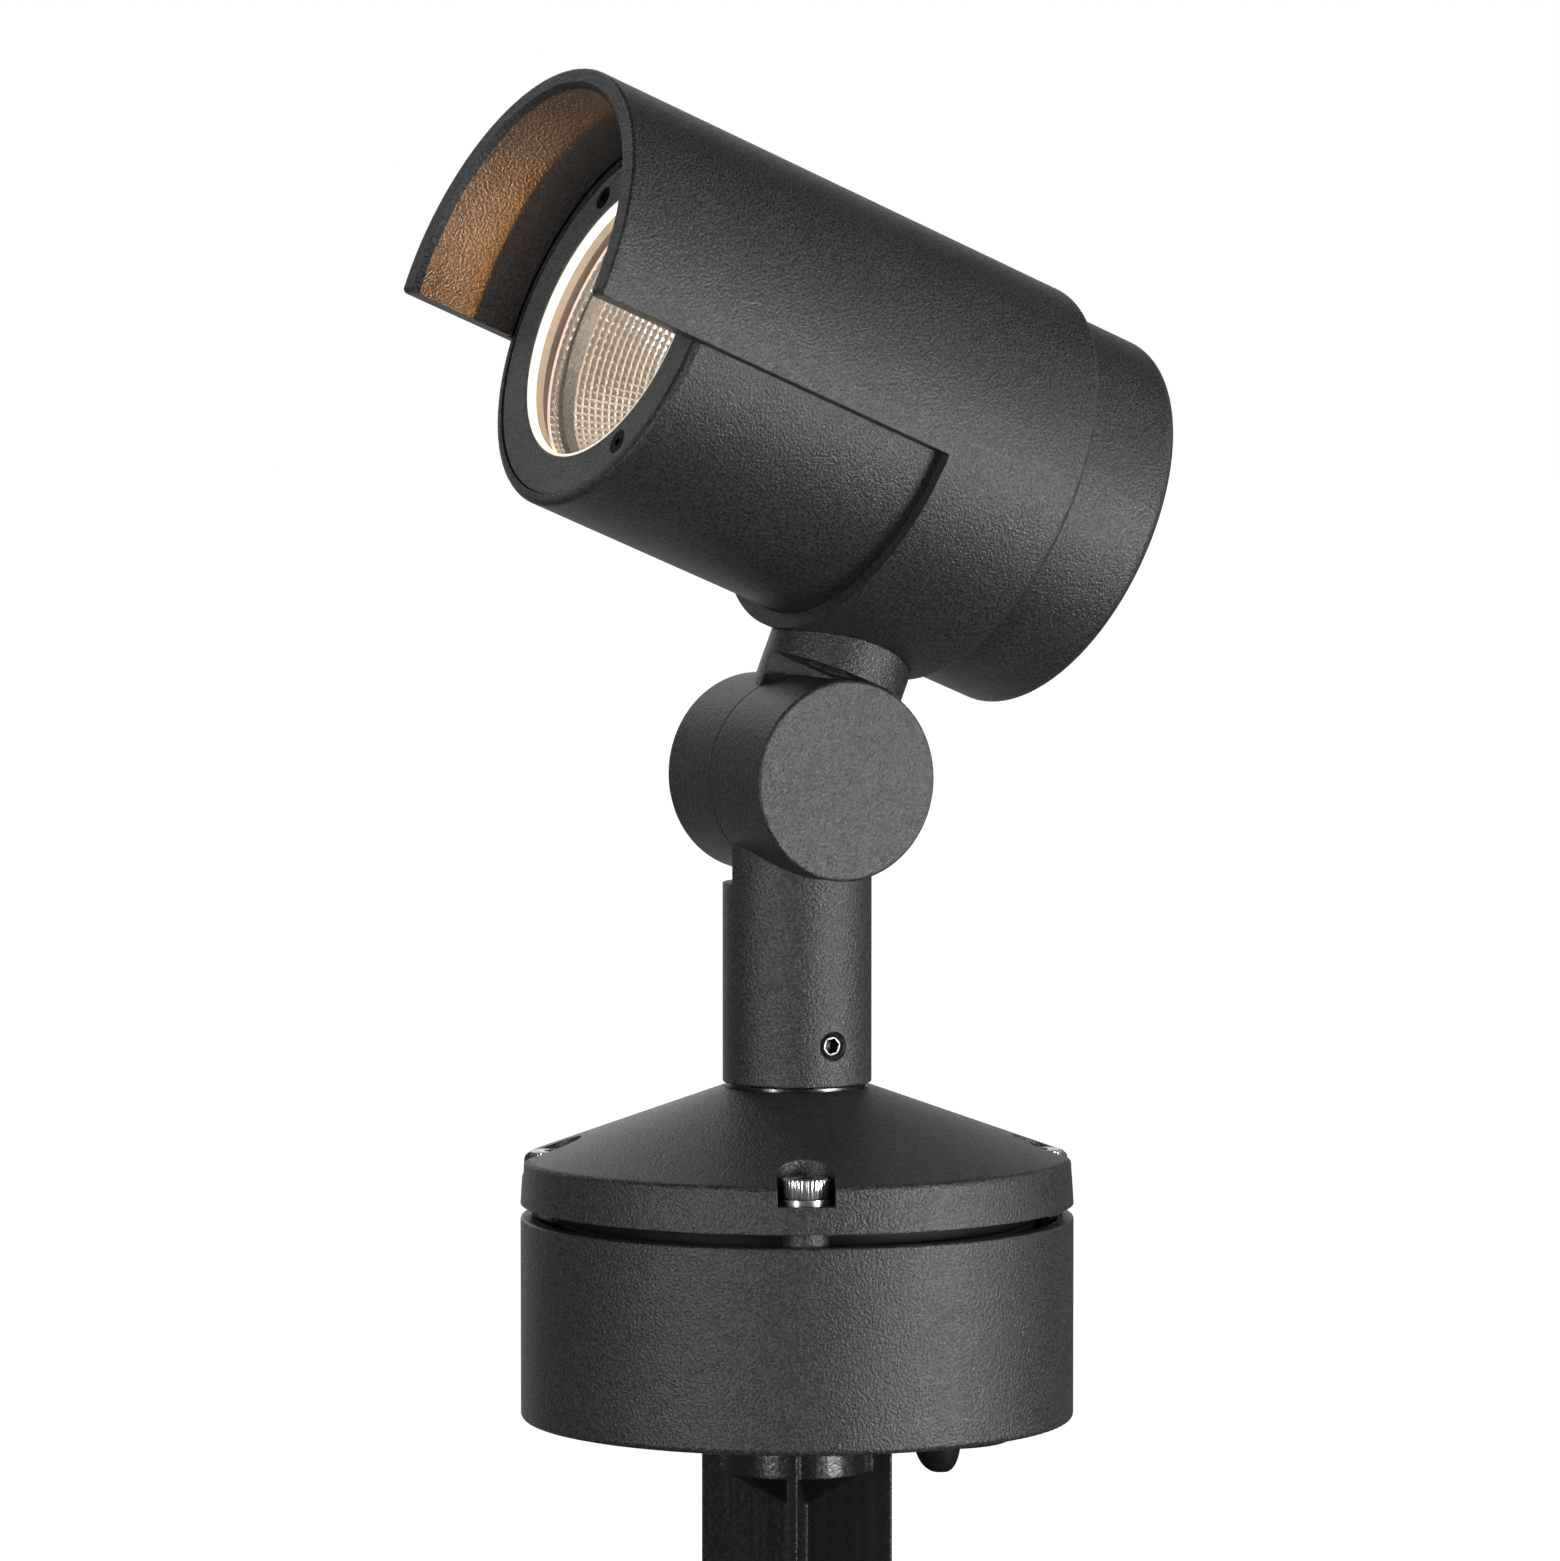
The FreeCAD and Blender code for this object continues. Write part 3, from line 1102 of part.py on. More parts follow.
def led_holder():
    holder = turned([
        (LED_HOLE_R, EMITTER_S),
        (LED_HOLDER_R, EMITTER_S),
        (LED_HOLDER_R, HOLDER_FRONT, 0.4),
        (REFLECTOR_THROAT_R, HOLDER_FRONT),
        (LED_HOLE_R, HOLDER_FRONT - (REFLECTOR_THROAT_R - LED_HOLE_R)),
    ])
    pocket = cylinder(LED_SCREW_HEAD_R + SLIP, led_screw_seat(), HOLDER_FRONT + BITE, x=LED_SCREW_PITCH_R)
    hole = cylinder(LED_SCREW_R + RUNNING, EMITTER_S - BITE, HOLDER_FRONT, x=LED_SCREW_PITCH_R)
    return in_head(holder.cut(Part.makeCompound(around(pocket, 2) + around(hole, 2))))


def led_emitter():
    return in_head(turned([(0, EMITTER_S), (EMITTER_R, EMITTER_S),
                           (EMITTER_R, EMITTER_S + EMITTER_T, 0.3), (0, EMITTER_S + EMITTER_T)]))


def led_screws():
    length = led_screw_seat() - WEB_FRONT + LED_SCREW_IN_WEB
    screw = turned([
        (0, led_screw_seat() - length),
        (LED_SCREW_R, led_screw_seat() - length),
        (LED_SCREW_R, led_screw_seat()),
        (LED_SCREW_HEAD_R, led_screw_seat()),
        (LED_SCREW_HEAD_R, HOLDER_FRONT, 0.3),
        (0, HOLDER_FRONT),
    ])
    screw.translate(V(LED_SCREW_PITCH_R, 0, 0))
    return in_head(Part.makeCompound(around(screw, 2)))


def board_standoffs():
    post = hexagon(STANDOFF_FLATS, DRIVER_FRONT, WEB_S, x=STANDOFF_PITCH_R)
    stud = cylinder(FIX_SCREW_R, WEB_S - BITE, WEB_S + WEB_T / 2, x=STANDOFF_PITCH_R)
    thread = cylinder(FIX_SCREW_R + RUNNING, DRIVER_FRONT - BITE, DRIVER_FRONT + STANDOFF_L * 0.6,
                      x=STANDOFF_PITCH_R)
    return in_head(Part.makeCompound(around(joined([post, stud]).cut(thread), STANDOFF_COUNT, 90)))


def driver_board():
    board = cylinder(DRIVER_R, DRIVER_BACK, DRIVER_FRONT)
    hole = cylinder(FIX_SCREW_R + SLIP, DRIVER_BACK - BITE, DRIVER_FRONT + BITE, x=STANDOFF_PITCH_R)
    return in_head(board.cut(Part.makeCompound(around(hole, STANDOFF_COUNT, 90))))


def board_screws():
    screw = facing(pan_screw(FIX_SCREW_R, DRIVER_T + STANDOFF_L / 2, FIX_SCREW_HEAD_R,
                             FIX_SCREW_HEAD_H), V(0, 0, -1))
    screw = moved(screw, V(STANDOFF_PITCH_R, 0, DRIVER_BACK))
    return in_head(Part.makeCompound(around(screw, STANDOFF_COUNT, 90)))


def on_board(size, place):
    """A block that stands on the rear of the driver board, centred on its place."""
    width, height, depth = size
    x, y = place
    return block(x - width / 2, x + width / 2, y - height / 2, y + height / 2,
                 DRIVER_BACK - depth, DRIVER_BACK)


def driver_transformer():
    width, height, depth = TRANSFORMER
    core = on_board(TRANSFORMER, TRANSFORMER_AT)
    notch = (width * 0.5, height + BITE, depth * 0.3)
    return in_head(core.cut(moved(on_board(notch, TRANSFORMER_AT), V(0, 0, -depth * 0.8))))


def driver_capacitors():
    cans = []
    for x, y in CAPACITOR_AT:
        can = turned([(0, -CAPACITOR_L), (CAPACITOR_R, -CAPACITOR_L, 0.6), (CAPACITOR_R, 0), (0, 0)])
        cans.append(moved(can, V(x, y, DRIVER_BACK)))
    return in_head(Part.makeCompound(cans))


def driver_terminal():
    return in_head(on_board(DRIVER_TERMINAL, DRIVER_TERMINAL_AT))


def head_lead():
    """From the parting face round the pivot bolt, up the neck and to the driver."""
    side = WIRE_RING_MID * tan(pi / 8)
    terminal_y = DRIVER_TERMINAL_AT[1]
    route = [
        (-SEAM, -WIRE_RING_MID, 0),
        (LEAD_ARM_X, -WIRE_RING_MID, 0),
        (LEAD_ARM_X, -WIRE_RING_MID, side),
        (LEAD_ARM_X, -side, WIRE_RING_MID),
        (LEAD_ARM_X, side, WIRE_RING_MID),
        (LEAD_ARM_X, WIRE_RING_MID, side),
        (LEAD_ARM_X, WIRE_RING_MID, 0),
    ]
    points = [V(x, PIVOT_Y + y, s) for x, y, s in route]
    points.append(V(LEAD_ARM_X, terminal_y, 0))
    points.append(V(LEAD_ARM_X, terminal_y, DRIVER_BACK - DRIVER_TERMINAL[2]))
    return in_head(tube(points))


def led_leads():
    wires = []
    level = (EMITTER_S + HOLDER_FRONT) / 2
    for side in (-1, 1):
        x = side * LED_LEAD_X
        edge = sqrt(LED_HOLDER_R ** 2 - (LED_LEAD_X - LED_LEAD_R) ** 2)
        points = [V(x, LED_LEAD_Y, DRIVER_FRONT), V(x, LED_LEAD_Y, level), V(x, edge, level)]
        wires.append(tube(points, LED_LEAD_R, LED_LEAD_R * 2))
    return in_head(Part.makeCompound(wires))


NODES = [
    junction_box, box_lid, lid_gasket, lid_screws, lid_screw_washers, cable_grommet,
    spike, spike_insert, spike_washer, spike_bolt,
    terminal_block, terminal_screws, terminal_fixing_screws, earth_screw,
    swivel_spigot, spigot_seal, spigot_nut, base_lead,
    stem, stem_set_screw, knuckle_o_ring, pivot_bolt, stem_lead,
    tilt_arm, pivot_washer, arm_screws, glare_hood, lamp_housing, lead_gland,
    rear_cover, rear_o_ring, front_bezel, bezel_screws, bezel_seal, front_glass, glass_gasket,
    reflector, led_board, led_holder, led_emitter, led_screws,
    board_standoffs, driver_board, board_screws, driver_transformer, driver_capacitors,
    driver_terminal, head_lead, led_leads,
]


def main():
    os.makedirs("parts", exist_ok=True)
    for make in NODES:
        shape = make()
        if not shape.isValid():
            print("not valid:", make.__name__)
        print("%-24s solids %d  volume %.1f" % (make.__name__, len(shape.Solids), shape.Volume))
        shape.exportStep("parts/%s.step" % make.__name__)


main()
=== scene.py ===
"""Looks of the garden spike spotlight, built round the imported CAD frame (metres, +Z up)."""

from math import atan2, cos, pi, radians, sin, sqrt

import bmesh
import bpy
from mathutils import Matrix, Vector


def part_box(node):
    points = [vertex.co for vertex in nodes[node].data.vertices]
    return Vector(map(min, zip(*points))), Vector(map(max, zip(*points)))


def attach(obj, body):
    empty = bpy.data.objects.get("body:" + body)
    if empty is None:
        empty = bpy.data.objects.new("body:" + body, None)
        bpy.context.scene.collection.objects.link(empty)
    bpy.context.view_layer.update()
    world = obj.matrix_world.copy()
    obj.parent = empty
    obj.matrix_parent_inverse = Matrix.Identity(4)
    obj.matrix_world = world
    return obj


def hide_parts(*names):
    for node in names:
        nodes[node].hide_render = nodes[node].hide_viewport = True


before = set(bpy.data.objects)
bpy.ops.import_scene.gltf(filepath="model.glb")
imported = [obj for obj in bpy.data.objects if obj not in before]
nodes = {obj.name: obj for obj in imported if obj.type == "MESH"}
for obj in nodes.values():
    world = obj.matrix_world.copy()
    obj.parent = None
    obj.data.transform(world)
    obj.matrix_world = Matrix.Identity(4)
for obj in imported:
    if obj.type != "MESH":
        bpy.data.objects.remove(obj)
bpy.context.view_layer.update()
scene = bpy.context.scene
MM = 0.001

# ---- places that come from the CAD, in millimetres ---------------------------------------
REST_TILT = 22.3            # degrees of the beam above level
PIVOT_Z = 116.2             # height of the tilt axis
AXIS_H = 61.9               # from the tilt axis to the beam axis
SCREW_ANGLE = -27.3         # degrees, first lid screw
SCREW_PITCH_R = 44.0
SCREW_COUNT = 4
SCREW_SEAT_Z = 44.8         # the heads of the lid screws start here
REFLECTOR_FRONT = 59.8      # places along the beam
REFLECTOR_BACK = 31.2
REFLECTOR_THROAT_R = 7.5
REFLECTOR_FLANGE_R = 27.9
REFLECTOR_FLANGE_T = 0.8
PANE_BACK = 60.6
PANE_FRONT = 64.6
GASKET_OUT_R = 28.0
GASKET_T = 0.8


# ---- frames -------------------------------------------------------------------------------
def head_matrix():
    """From the head's own frame (x across, y up from the beam axis, z along the beam), in mm."""
    tilt = radians(REST_TILT)
    turn = Matrix.Rotation(radians(90) - tilt, 4, "X")
    lift = Vector((0, sin(tilt) * AXIS_H, PIVOT_Z + cos(tilt) * AXIS_H))
    return Matrix.Scale(MM, 4) @ Matrix.Translation(lift) @ turn


HEAD = head_matrix()
ROW = Matrix.Scale(MM, 4)   # from the part's own frame in mm


# ---- node tree helpers ---------------------------------------------------------------------
def new_material(name):
    material = bpy.data.materials.new(name)
    material.use_nodes = True
    tree = material.node_tree
    shader = tree.nodes["Principled BSDF"]
    return material, tree, shader


def add(tree, kind, **settings):
    """New node; a setting goes to the socket of that name, or else to the node itself."""
    node = tree.nodes.new(kind)
    for key, value in settings.items():
        if key in node.inputs:
            node.inputs[key].default_value = value
        else:
            setattr(node, key, value)
    return node


def mapped(tree, scale=(1, 1, 1)):
    """Object coordinates in metres, which move with the piece."""
    place = add(tree, "ShaderNodeTexCoord")
    mapping = add(tree, "ShaderNodeMapping")
    mapping.inputs["Scale"].default_value = scale
    tree.links.new(place.outputs["Object"], mapping.inputs["Vector"])
    return mapping.outputs["Vector"]


def noise(tree, vector, scale, detail=2.0, roughness=0.5):
    node = add(tree, "ShaderNodeTexNoise", Scale=scale, Detail=detail, Roughness=roughness)
    tree.links.new(vector, node.inputs["Vector"])
    return node.outputs["Fac"]


NOISE_BAND = (0.3, 0.7)     # most values of a noise lie in here


def ramp(tree, value, low, high, at=NOISE_BAND):
    """Colour between low and high as value goes from at[0] to at[1]."""
    node = add(tree, "ShaderNodeValToRGB")
    stops = node.color_ramp.elements
    stops[0].position, stops[1].position = at
    stops[0].color = (*low, 1)
    stops[1].color = (*high, 1)
    tree.links.new(value, node.inputs["Fac"])
    return node.outputs["Color"]


def span(tree, value, to_low, to_high, at=NOISE_BAND):
    """Number between to_low and to_high as value goes from at[0] to at[1]."""
    node = add(tree, "ShaderNodeMapRange")
    ends = {"From Min": at[0], "From Max": at[1], "To Min": to_low, "To Max": to_high}
    for key, number in ends.items():
        node.inputs[key].default_value = number
    tree.links.new(value, node.inputs["Value"])
    return node.outputs["Result"]


def maths(tree, kind, a, b):
    """Sum, product and so on of two values, each a number or an output."""
    node = add(tree, "ShaderNodeMath", operation=kind)
    for socket, value in zip(node.inputs, (a, b)):
        if isinstance(value, (int, float)):
            socket.default_value = value
        else:
            tree.links.new(value, socket)
    return node.outputs[0]


def bump(tree, height, distance, strength=1.0, normal=None):
    node = add(tree, "ShaderNodeBump", Distance=distance, Strength=strength)
    tree.links.new(height, node.inputs["Height"])
    if normal:
        tree.links.new(normal, node.inputs["Normal"])
    return node.outputs["Normal"]


def rounded(tree, radius):
    """Normal as if the edges were rounded by radius, in metres."""
    return add(tree, "ShaderNodeBevel", samples=4, Radius=radius).outputs["Normal"]


def grey(value):
    """Very slightly bluish grey of the paint."""
    return (value, value * 0.99, value * 1.01)


def seen(tree, paths):
    """1 for rays of the camera, straight or through the pane."""
    return maths(tree, "MAXIMUM", paths.outputs["Is Camera Ray"],
                 paths.outputs["Is Transmission Ray"])


# ---- materials -----------------------------------------------------------------------------
COARSE_SCALE, COARSE_SHARE = 0.75, 0.55     # the paint's two noises: scale and share of height
FINE_SCALE, FINE_SHARE = 1.4, 0.45
SPECK_BAND = (0.4, 0.62)
SPECK_DARK, SPECK_LIGHT = 0.35, 1.75
COAT_EDGE = 0.0003
SPIKE_EDGE = 0.0006
SPIKE_GRAIN_DEPTH = 0.00012
GLASS_IOR = 1.9


def powder_coat(name, base, grain, depth, rough, specular):
    """Matt textured paint: small rounded grains that catch the light, and slight mottling."""
    material, tree, shader = new_material(name)
    where = mapped(tree)
    coarse = noise(tree, where, grain * COARSE_SCALE, 1.0, 0.4)
    fine = noise(tree, where, grain * FINE_SCALE, 2.0, 0.6)
    height = maths(tree, "ADD", maths(tree, "MULTIPLY", coarse, COARSE_SHARE),
                   maths(tree, "MULTIPLY", fine, FINE_SHARE))
    speck = ramp(tree, maths(tree, "MULTIPLY", maths(tree, "ADD", coarse, fine), 0.5),
                 grey(base * SPECK_DARK), grey(base * SPECK_LIGHT), SPECK_BAND)
    cloud = noise(tree, where, 60.0, 3.0, 0.6)
    mix = add(tree, "ShaderNodeMix", data_type="RGBA", blend_type="MULTIPLY")
    mix.inputs["Factor"].default_value = 1.0
    tree.links.new(speck, mix.inputs["A"])
    tree.links.new(ramp(tree, cloud, (0.9, 0.9, 0.9), (1.1, 1.1, 1.1)), mix.inputs["B"])
    tree.links.new(mix.outputs["Result"], shader.inputs["Base Color"])
    tree.links.new(span(tree, fine, rough + 0.06, rough - 0.06), shader.inputs["Roughness"])
    shader.inputs["Specular IOR Level"].default_value = specular
    tree.links.new(bump(tree, height, depth, 1.0, rounded(tree, COAT_EDGE)),
                   shader.inputs["Normal"])
    return material


def metal(name, colour, rough, streak=(400.0, 400.0, 400.0)):
    """Turned or brushed metal with fine lines."""
    material, tree, shader = new_material(name)
    lines = noise(tree, mapped(tree, streak), 1.0, 3.0, 0.6)
    shader.inputs["Metallic"].default_value = 1.0
    low = tuple(c * 0.88 for c in colour)
    tree.links.new(ramp(tree, lines, low, colour), shader.inputs["Base Color"])
    tree.links.new(span(tree, lines, rough + 0.08, rough - 0.08), shader.inputs["Roughness"])
    tree.links.new(bump(tree, lines, 0.000006, 0.6), shader.inputs["Normal"])
    return material


def plastic(name, colour, rough, grain=900.0, depth=0.00001, specular=0.5):
    """Moulded plastic or rubber, with a fine grain."""
    material, tree, shader = new_material(name)
    pattern = noise(tree, mapped(tree), grain, 3.0, 0.55)
    low = tuple(c * 0.85 for c in colour)
    high = tuple(c * 1.15 for c in colour)
    tree.links.new(ramp(tree, pattern, low, high), shader.inputs["Base Color"])
    tree.links.new(span(tree, pattern, rough - 0.05, rough + 0.07), shader.inputs["Roughness"])
    shader.inputs["Specular IOR Level"].default_value = specular
    tree.links.new(bump(tree, pattern, depth, 0.8), shader.inputs["Normal"])
    return material


def moulded_spike():
    """Glossy black moulding with flow streaks along its length and a coarse grain."""
    material, tree, shader = new_material("spike_moulding")
    streaks = noise(tree, mapped(tree, (1, 1, 0.03)), 520.0)
    grain = noise(tree, mapped(tree), 1300.0)
    tree.links.new(ramp(tree, streaks, (0.003, 0.003, 0.0035), (0.009, 0.0085, 0.009)),
                   shader.inputs["Base Color"])
    tree.links.new(span(tree, grain, 0.2, 0.34), shader.inputs["Roughness"])
    shader.inputs["Specular IOR Level"].default_value = 0.7
    height = maths(tree, "ADD", streaks, maths(tree, "MULTIPLY", grain, 0.5))
    tree.links.new(bump(tree, height, SPIKE_GRAIN_DEPTH, 1.0, rounded(tree, SPIKE_EDGE)),
                   shader.inputs["Normal"])
    return material


def pane_edge_painted_glow():
    """Ground edge of the pane, with a painted brownish glow in place of the lamp's light from
    inside.
    """
    material, tree, shader = new_material("pane_edge_painted_glow")
    frost_and_glow = noise(tree, mapped(tree), 900.0)
    tree.links.new(ramp(tree, frost_and_glow, (0.005, 0.004, 0.003), (0.008, 0.006, 0.005)),
                   shader.inputs["Base Color"])
    # painted glow: warm emission in place of the lamp's light on the edge
    tree.links.new(ramp(tree, frost_and_glow, (0.85, 0.56, 0.37), (1.0, 0.7, 0.49)),
                   shader.inputs["Emission Color"])
    shader.inputs["Emission Strength"].default_value = 0.17
    shader.inputs["Roughness"].default_value = 0.5
    return material


def glass_material():
    """Flat pane: clear where it is looked through, mirroring more at a flat angle."""
    material, tree, shader = new_material("pane_glass")
    tree.nodes.remove(shader)
    clear = add(tree, "ShaderNodeBsdfTransparent", Color=(0.97, 0.985, 0.975, 1))
    mirror = add(tree, "ShaderNodeBsdfGlossy", Color=(1, 1, 1, 1))
    smear = noise(tree, mapped(tree), 160.0)
    tree.links.new(span(tree, smear, 0.0, 0.03, (0.3, 0.8)), mirror.inputs["Roughness"])
    fresnel = add(tree, "ShaderNodeFresnel", IOR=GLASS_IOR)
    facing = add(tree, "ShaderNodeNewGeometry")
    front = maths(tree, "SUBTRACT", 1.0, facing.outputs["Backfacing"])
    share = maths(tree, "MULTIPLY", fresnel.outputs[0], front)
    mix = add(tree, "ShaderNodeMixShader")
    for source, socket in zip((share, clear.outputs[0], mirror.outputs[0]), mix.inputs):
        tree.links.new(source, socket)
    tree.links.new(mix.outputs[0], tree.nodes["Material Output"].inputs["Surface"])
    return material


def glowing(name, colour, light, strength):
    """Glowing surface, a little uneven: the LED's own light, and a painted glow on the seal and
    gasket.
    """
    material, tree, shader = new_material(name)
    cloud = noise(tree, mapped(tree), 350.0)
    low = tuple(c * 0.9 for c in light)
    tree.links.new(ramp(tree, cloud, low, light), shader.inputs["Emission Color"])
    shader.inputs["Emission Strength"].default_value = strength
    shader.inputs["Base Color"].default_value = (*colour, 1)
    shader.inputs["Roughness"].default_value = 0.4
    return material


def mirror_material():
    """Vapour-coated reflector, a little uneven in tone and roughness, with a faint painted warm
    glow in place of the lamp's light on it.
    """
    material, tree, shader = new_material("bright_facets")
    haze_and_glow = noise(tree, mapped(tree), 500.0)
    shader.inputs["Metallic"].default_value = 0.96
    tree.links.new(ramp(tree, haze_and_glow, (0.9, 0.87, 0.84), (0.97, 0.95, 0.93)),
                   shader.inputs["Base Color"])
    tree.links.new(span(tree, haze_and_glow, 0.08, 0.14), shader.inputs["Roughness"])
    # painted glow: faint warm emission standing in for the lamp's light on the bowl
    tree.links.new(ramp(tree, haze_and_glow, (1.0, 0.78, 0.6), (1.0, 0.86, 0.74)),
                   shader.inputs["Emission Color"])
    shader.inputs["Emission Strength"].default_value = 0.13
    return material


COAT = powder_coat("anthracite_coat", 0.03, 2500.0, 0.00031, 0.36, 0.64)
COAT_FINE = powder_coat("anthracite_satin", 0.1, 5200.0, 0.000012, 0.45, 0.25)
STEEL = metal("stainless", (0.66, 0.65, 0.62), 0.26)
STEEL_DARK = metal("dark_screw_steel", (0.1, 0.098, 0.095), 0.25)
SOCKET = metal("socket_shade", (0.03, 0.03, 0.03), 0.35)
BRASS = metal("turned_brass", (0.78, 0.6, 0.3), 0.28)
# painted shade: a darker copy of the steel for the swivel spigot and nut in the gap under the stem,
# and for the set screw
STEEL_SHADED = metal("steel_painted_shade", (0.13, 0.13, 0.128), 0.26)
BLACK = plastic("black_moulding", (0.008, 0.008, 0.0085), 0.3, 700.0, 0.00004)
SPIKE_BLACK = moulded_spike()
RUBBER = plastic("black_rubber", (0.006, 0.006, 0.006), 0.6, 1500.0, specular=0.2)
GREY_PLASTIC = plastic("grey_moulding", (0.5, 0.51, 0.52), 0.45)
# painted glow: seal and gasket emit light in place of the lamp's light shining through them
SILICONE = glowing("silicone_painted_glow", (0.5, 0.47, 0.4), (1.0, 0.95, 0.84), 0.8)
GASKET = glowing("gasket_painted_glow", (0.6, 0.45, 0.35), (1.0, 0.8, 0.68), 0.8)
PANE_EDGE = pane_edge_painted_glow()
GLASS = glass_material()
FACETS = mirror_material()
ALUMINIUM = metal("satin_aluminium", (0.8, 0.79, 0.75), 0.4, (900, 60, 900))
PHOSPHOR = glowing("lit_phosphor", (0.9, 0.7, 0.2), (1.0, 0.87, 0.72), 100.0)
BOARD = plastic("solder_mask", (0.03, 0.16, 0.06), 0.35, 300.0)
TAPE = plastic("yellow_tape", (0.7, 0.55, 0.1), 0.4, 200.0)
SLEEVE = plastic("can_sleeve", (0.03, 0.04, 0.07), 0.3, 200.0)
SHEATH = plastic("wire_sheath", (0.02, 0.02, 0.02), 0.5, 800.0)

FINISHES = {
    COAT: "junction_box box_lid stem tilt_arm glare_hood lamp_housing rear_cover",
    COAT_FINE: "front_bezel",
    STEEL: "lid_screws lid_screw_washers spike_washer spike_bolt earth_screw "
           "terminal_fixing_screws stem_set_screw pivot_bolt pivot_washer arm_screws led_screws "
           "board_standoffs board_screws",
    STEEL_DARK: "bezel_screws",
    BRASS: "spike_insert terminal_screws",
    BLACK: "led_holder",
    SPIKE_BLACK: "spike",
    STEEL_SHADED: "swivel_spigot spigot_nut",
    RUBBER: "lid_gasket cable_grommet spigot_seal knuckle_o_ring rear_o_ring lead_gland",
    GREY_PLASTIC: "terminal_block",
    SILICONE: "bezel_seal",
    GASKET: "glass_gasket",
    GLASS: "front_glass",
    FACETS: "reflector",
    ALUMINIUM: "led_board",
    PHOSPHOR: "led_emitter",
    BOARD: "driver_board driver_terminal",
    TAPE: "driver_transformer",
    SLEEVE: "driver_capacitors",
    SHEATH: "base_lead stem_lead head_lead led_leads",
}


def finish_nodes():
    for material, names in FINISHES.items():
        for name in names.split():
            mesh = nodes[name].data
            mesh.materials.clear()
            mesh.materials.append(material)


# ---- mesh helpers ----------------------------------------------------------------------------
def mesh_piece(name, build, matrix, material, body, sharp=30.0, inside=None):
    """Object from a function that fills a bmesh in millimetres, placed by matrix.
    Faces that build marks with material index 1 get the material for the inside."""
    mesh = bpy.data.meshes.new(name)
    form = bmesh.new()
    build(form)
    bmesh.ops.remove_doubles(form, verts=form.verts, dist=1e-4)
    bmesh.ops.recalc_face_normals(form, faces=form.faces)
    form.transform(matrix)
    form.to_mesh(mesh)
    form.free()
    mesh.materials.append(material)
    if inside:
        mesh.materials.append(inside)
    mesh.shade_smooth()
    mesh.set_sharp_from_angle(angle=radians(sharp))
    piece = bpy.data.objects.new(name, mesh)
    scene.collection.objects.link(piece)
    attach(piece, body)
    return piece


def around(radius, turn, z):
    return Vector((radius * cos(turn), radius * sin(turn), z))


def ring(form, radius, z, count):
    return [form.verts.new(around(radius, 2 * pi * i / count, z)) for i in range(count)]


def join(form, inner, outer, index=0):
    """Band of quads between two closed rings of equal length."""
    count = len(inner)
    for i in range(count):
        k = (i + 1) % count
        form.faces.new((inner[i], inner[k], outer[k], outer[i])).material_index = index


def dome(share):
    """0 at both ends of a facet and 1 in its middle."""
    return 4 * share * (1 - share)


# ---- reflector -------------------------------------------------------------------------------
FACET_COLUMNS = 96
FACET_ROWS = 32
FACET_CELLS = 3         # quads across one facet
FLUTE_BULGE = 0.15      # mm that the middle of a column stands into the bowl
ROW_BULGE = 0.15        # and the middle of a row
FULL_BULGE_R = 20       # nearer the throat the facets are flatter
ROW_SPREAD = 1.25       # above 1 the rows are narrower at the throat
RIM_FRONT = 60.4
RIM_R = 27.6
SHELL_T = 0.5
RIM_STEP = 0.1          # between the bowl and its flange


def facet_line(v):
    """Radius and place along the beam for v from 0 at the throat to 1 at the gasket."""
    rise = v ** ROW_SPREAD
    radius = sqrt(REFLECTOR_THROAT_R ** 2 + rise * (RIM_R ** 2 - REFLECTOR_THROAT_R ** 2))
    return radius, REFLECTOR_BACK + (RIM_FRONT - REFLECTOR_BACK) * rise


def facet_ring(form, j, across):
    """Ring of the bowl's inner face at row line j of the fine grid."""
    radius, s = facet_line(j / (FACET_ROWS * FACET_CELLS))
    in_row = (j % FACET_CELLS) / FACET_CELLS
    points = []
    for i in range(across):
        in_column = (i % FACET_CELLS) / FACET_CELLS
        crown = dome(in_column) * FLUTE_BULGE + dome(in_row) * ROW_BULGE
        r = radius - crown * min(1.0, radius / FULL_BULGE_R)
        points.append(form.verts.new(around(r, 2 * pi * i / across, s)))
    return points


def facet_bowl(form):
    across = FACET_COLUMNS * FACET_CELLS
    bowl = [facet_ring(form, j, across) for j in range(FACET_ROWS * FACET_CELLS + 1)]
    for inner, outer in zip(bowl, bowl[1:]):
        join(form, inner, outer)
    # flange, its outer edge and the back of the shell
    flange_back = REFLECTOR_FRONT - REFLECTOR_FLANGE_T
    outline = [(REFLECTOR_FLANGE_R, RIM_FRONT - RIM_STEP), (REFLECTOR_FLANGE_R, flange_back),
               (RIM_R - RIM_STEP, flange_back)]
    for j in range(FACET_ROWS - 2, -1, -1):
        radius, s = facet_line(j / FACET_ROWS)
        outline.append((radius + SHELL_T, s))
    rings = [bowl[-1], *[ring(form, r, s, across) for r, s in outline], bowl[0]]
    for inner, outer in zip(rings, rings[1:]):
        join(form, inner, outer)


def add_reflector():
    piece = mesh_piece("reflector_facets", facet_bowl, HEAD, FACETS, "head",
                       16.0)
    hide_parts("reflector")


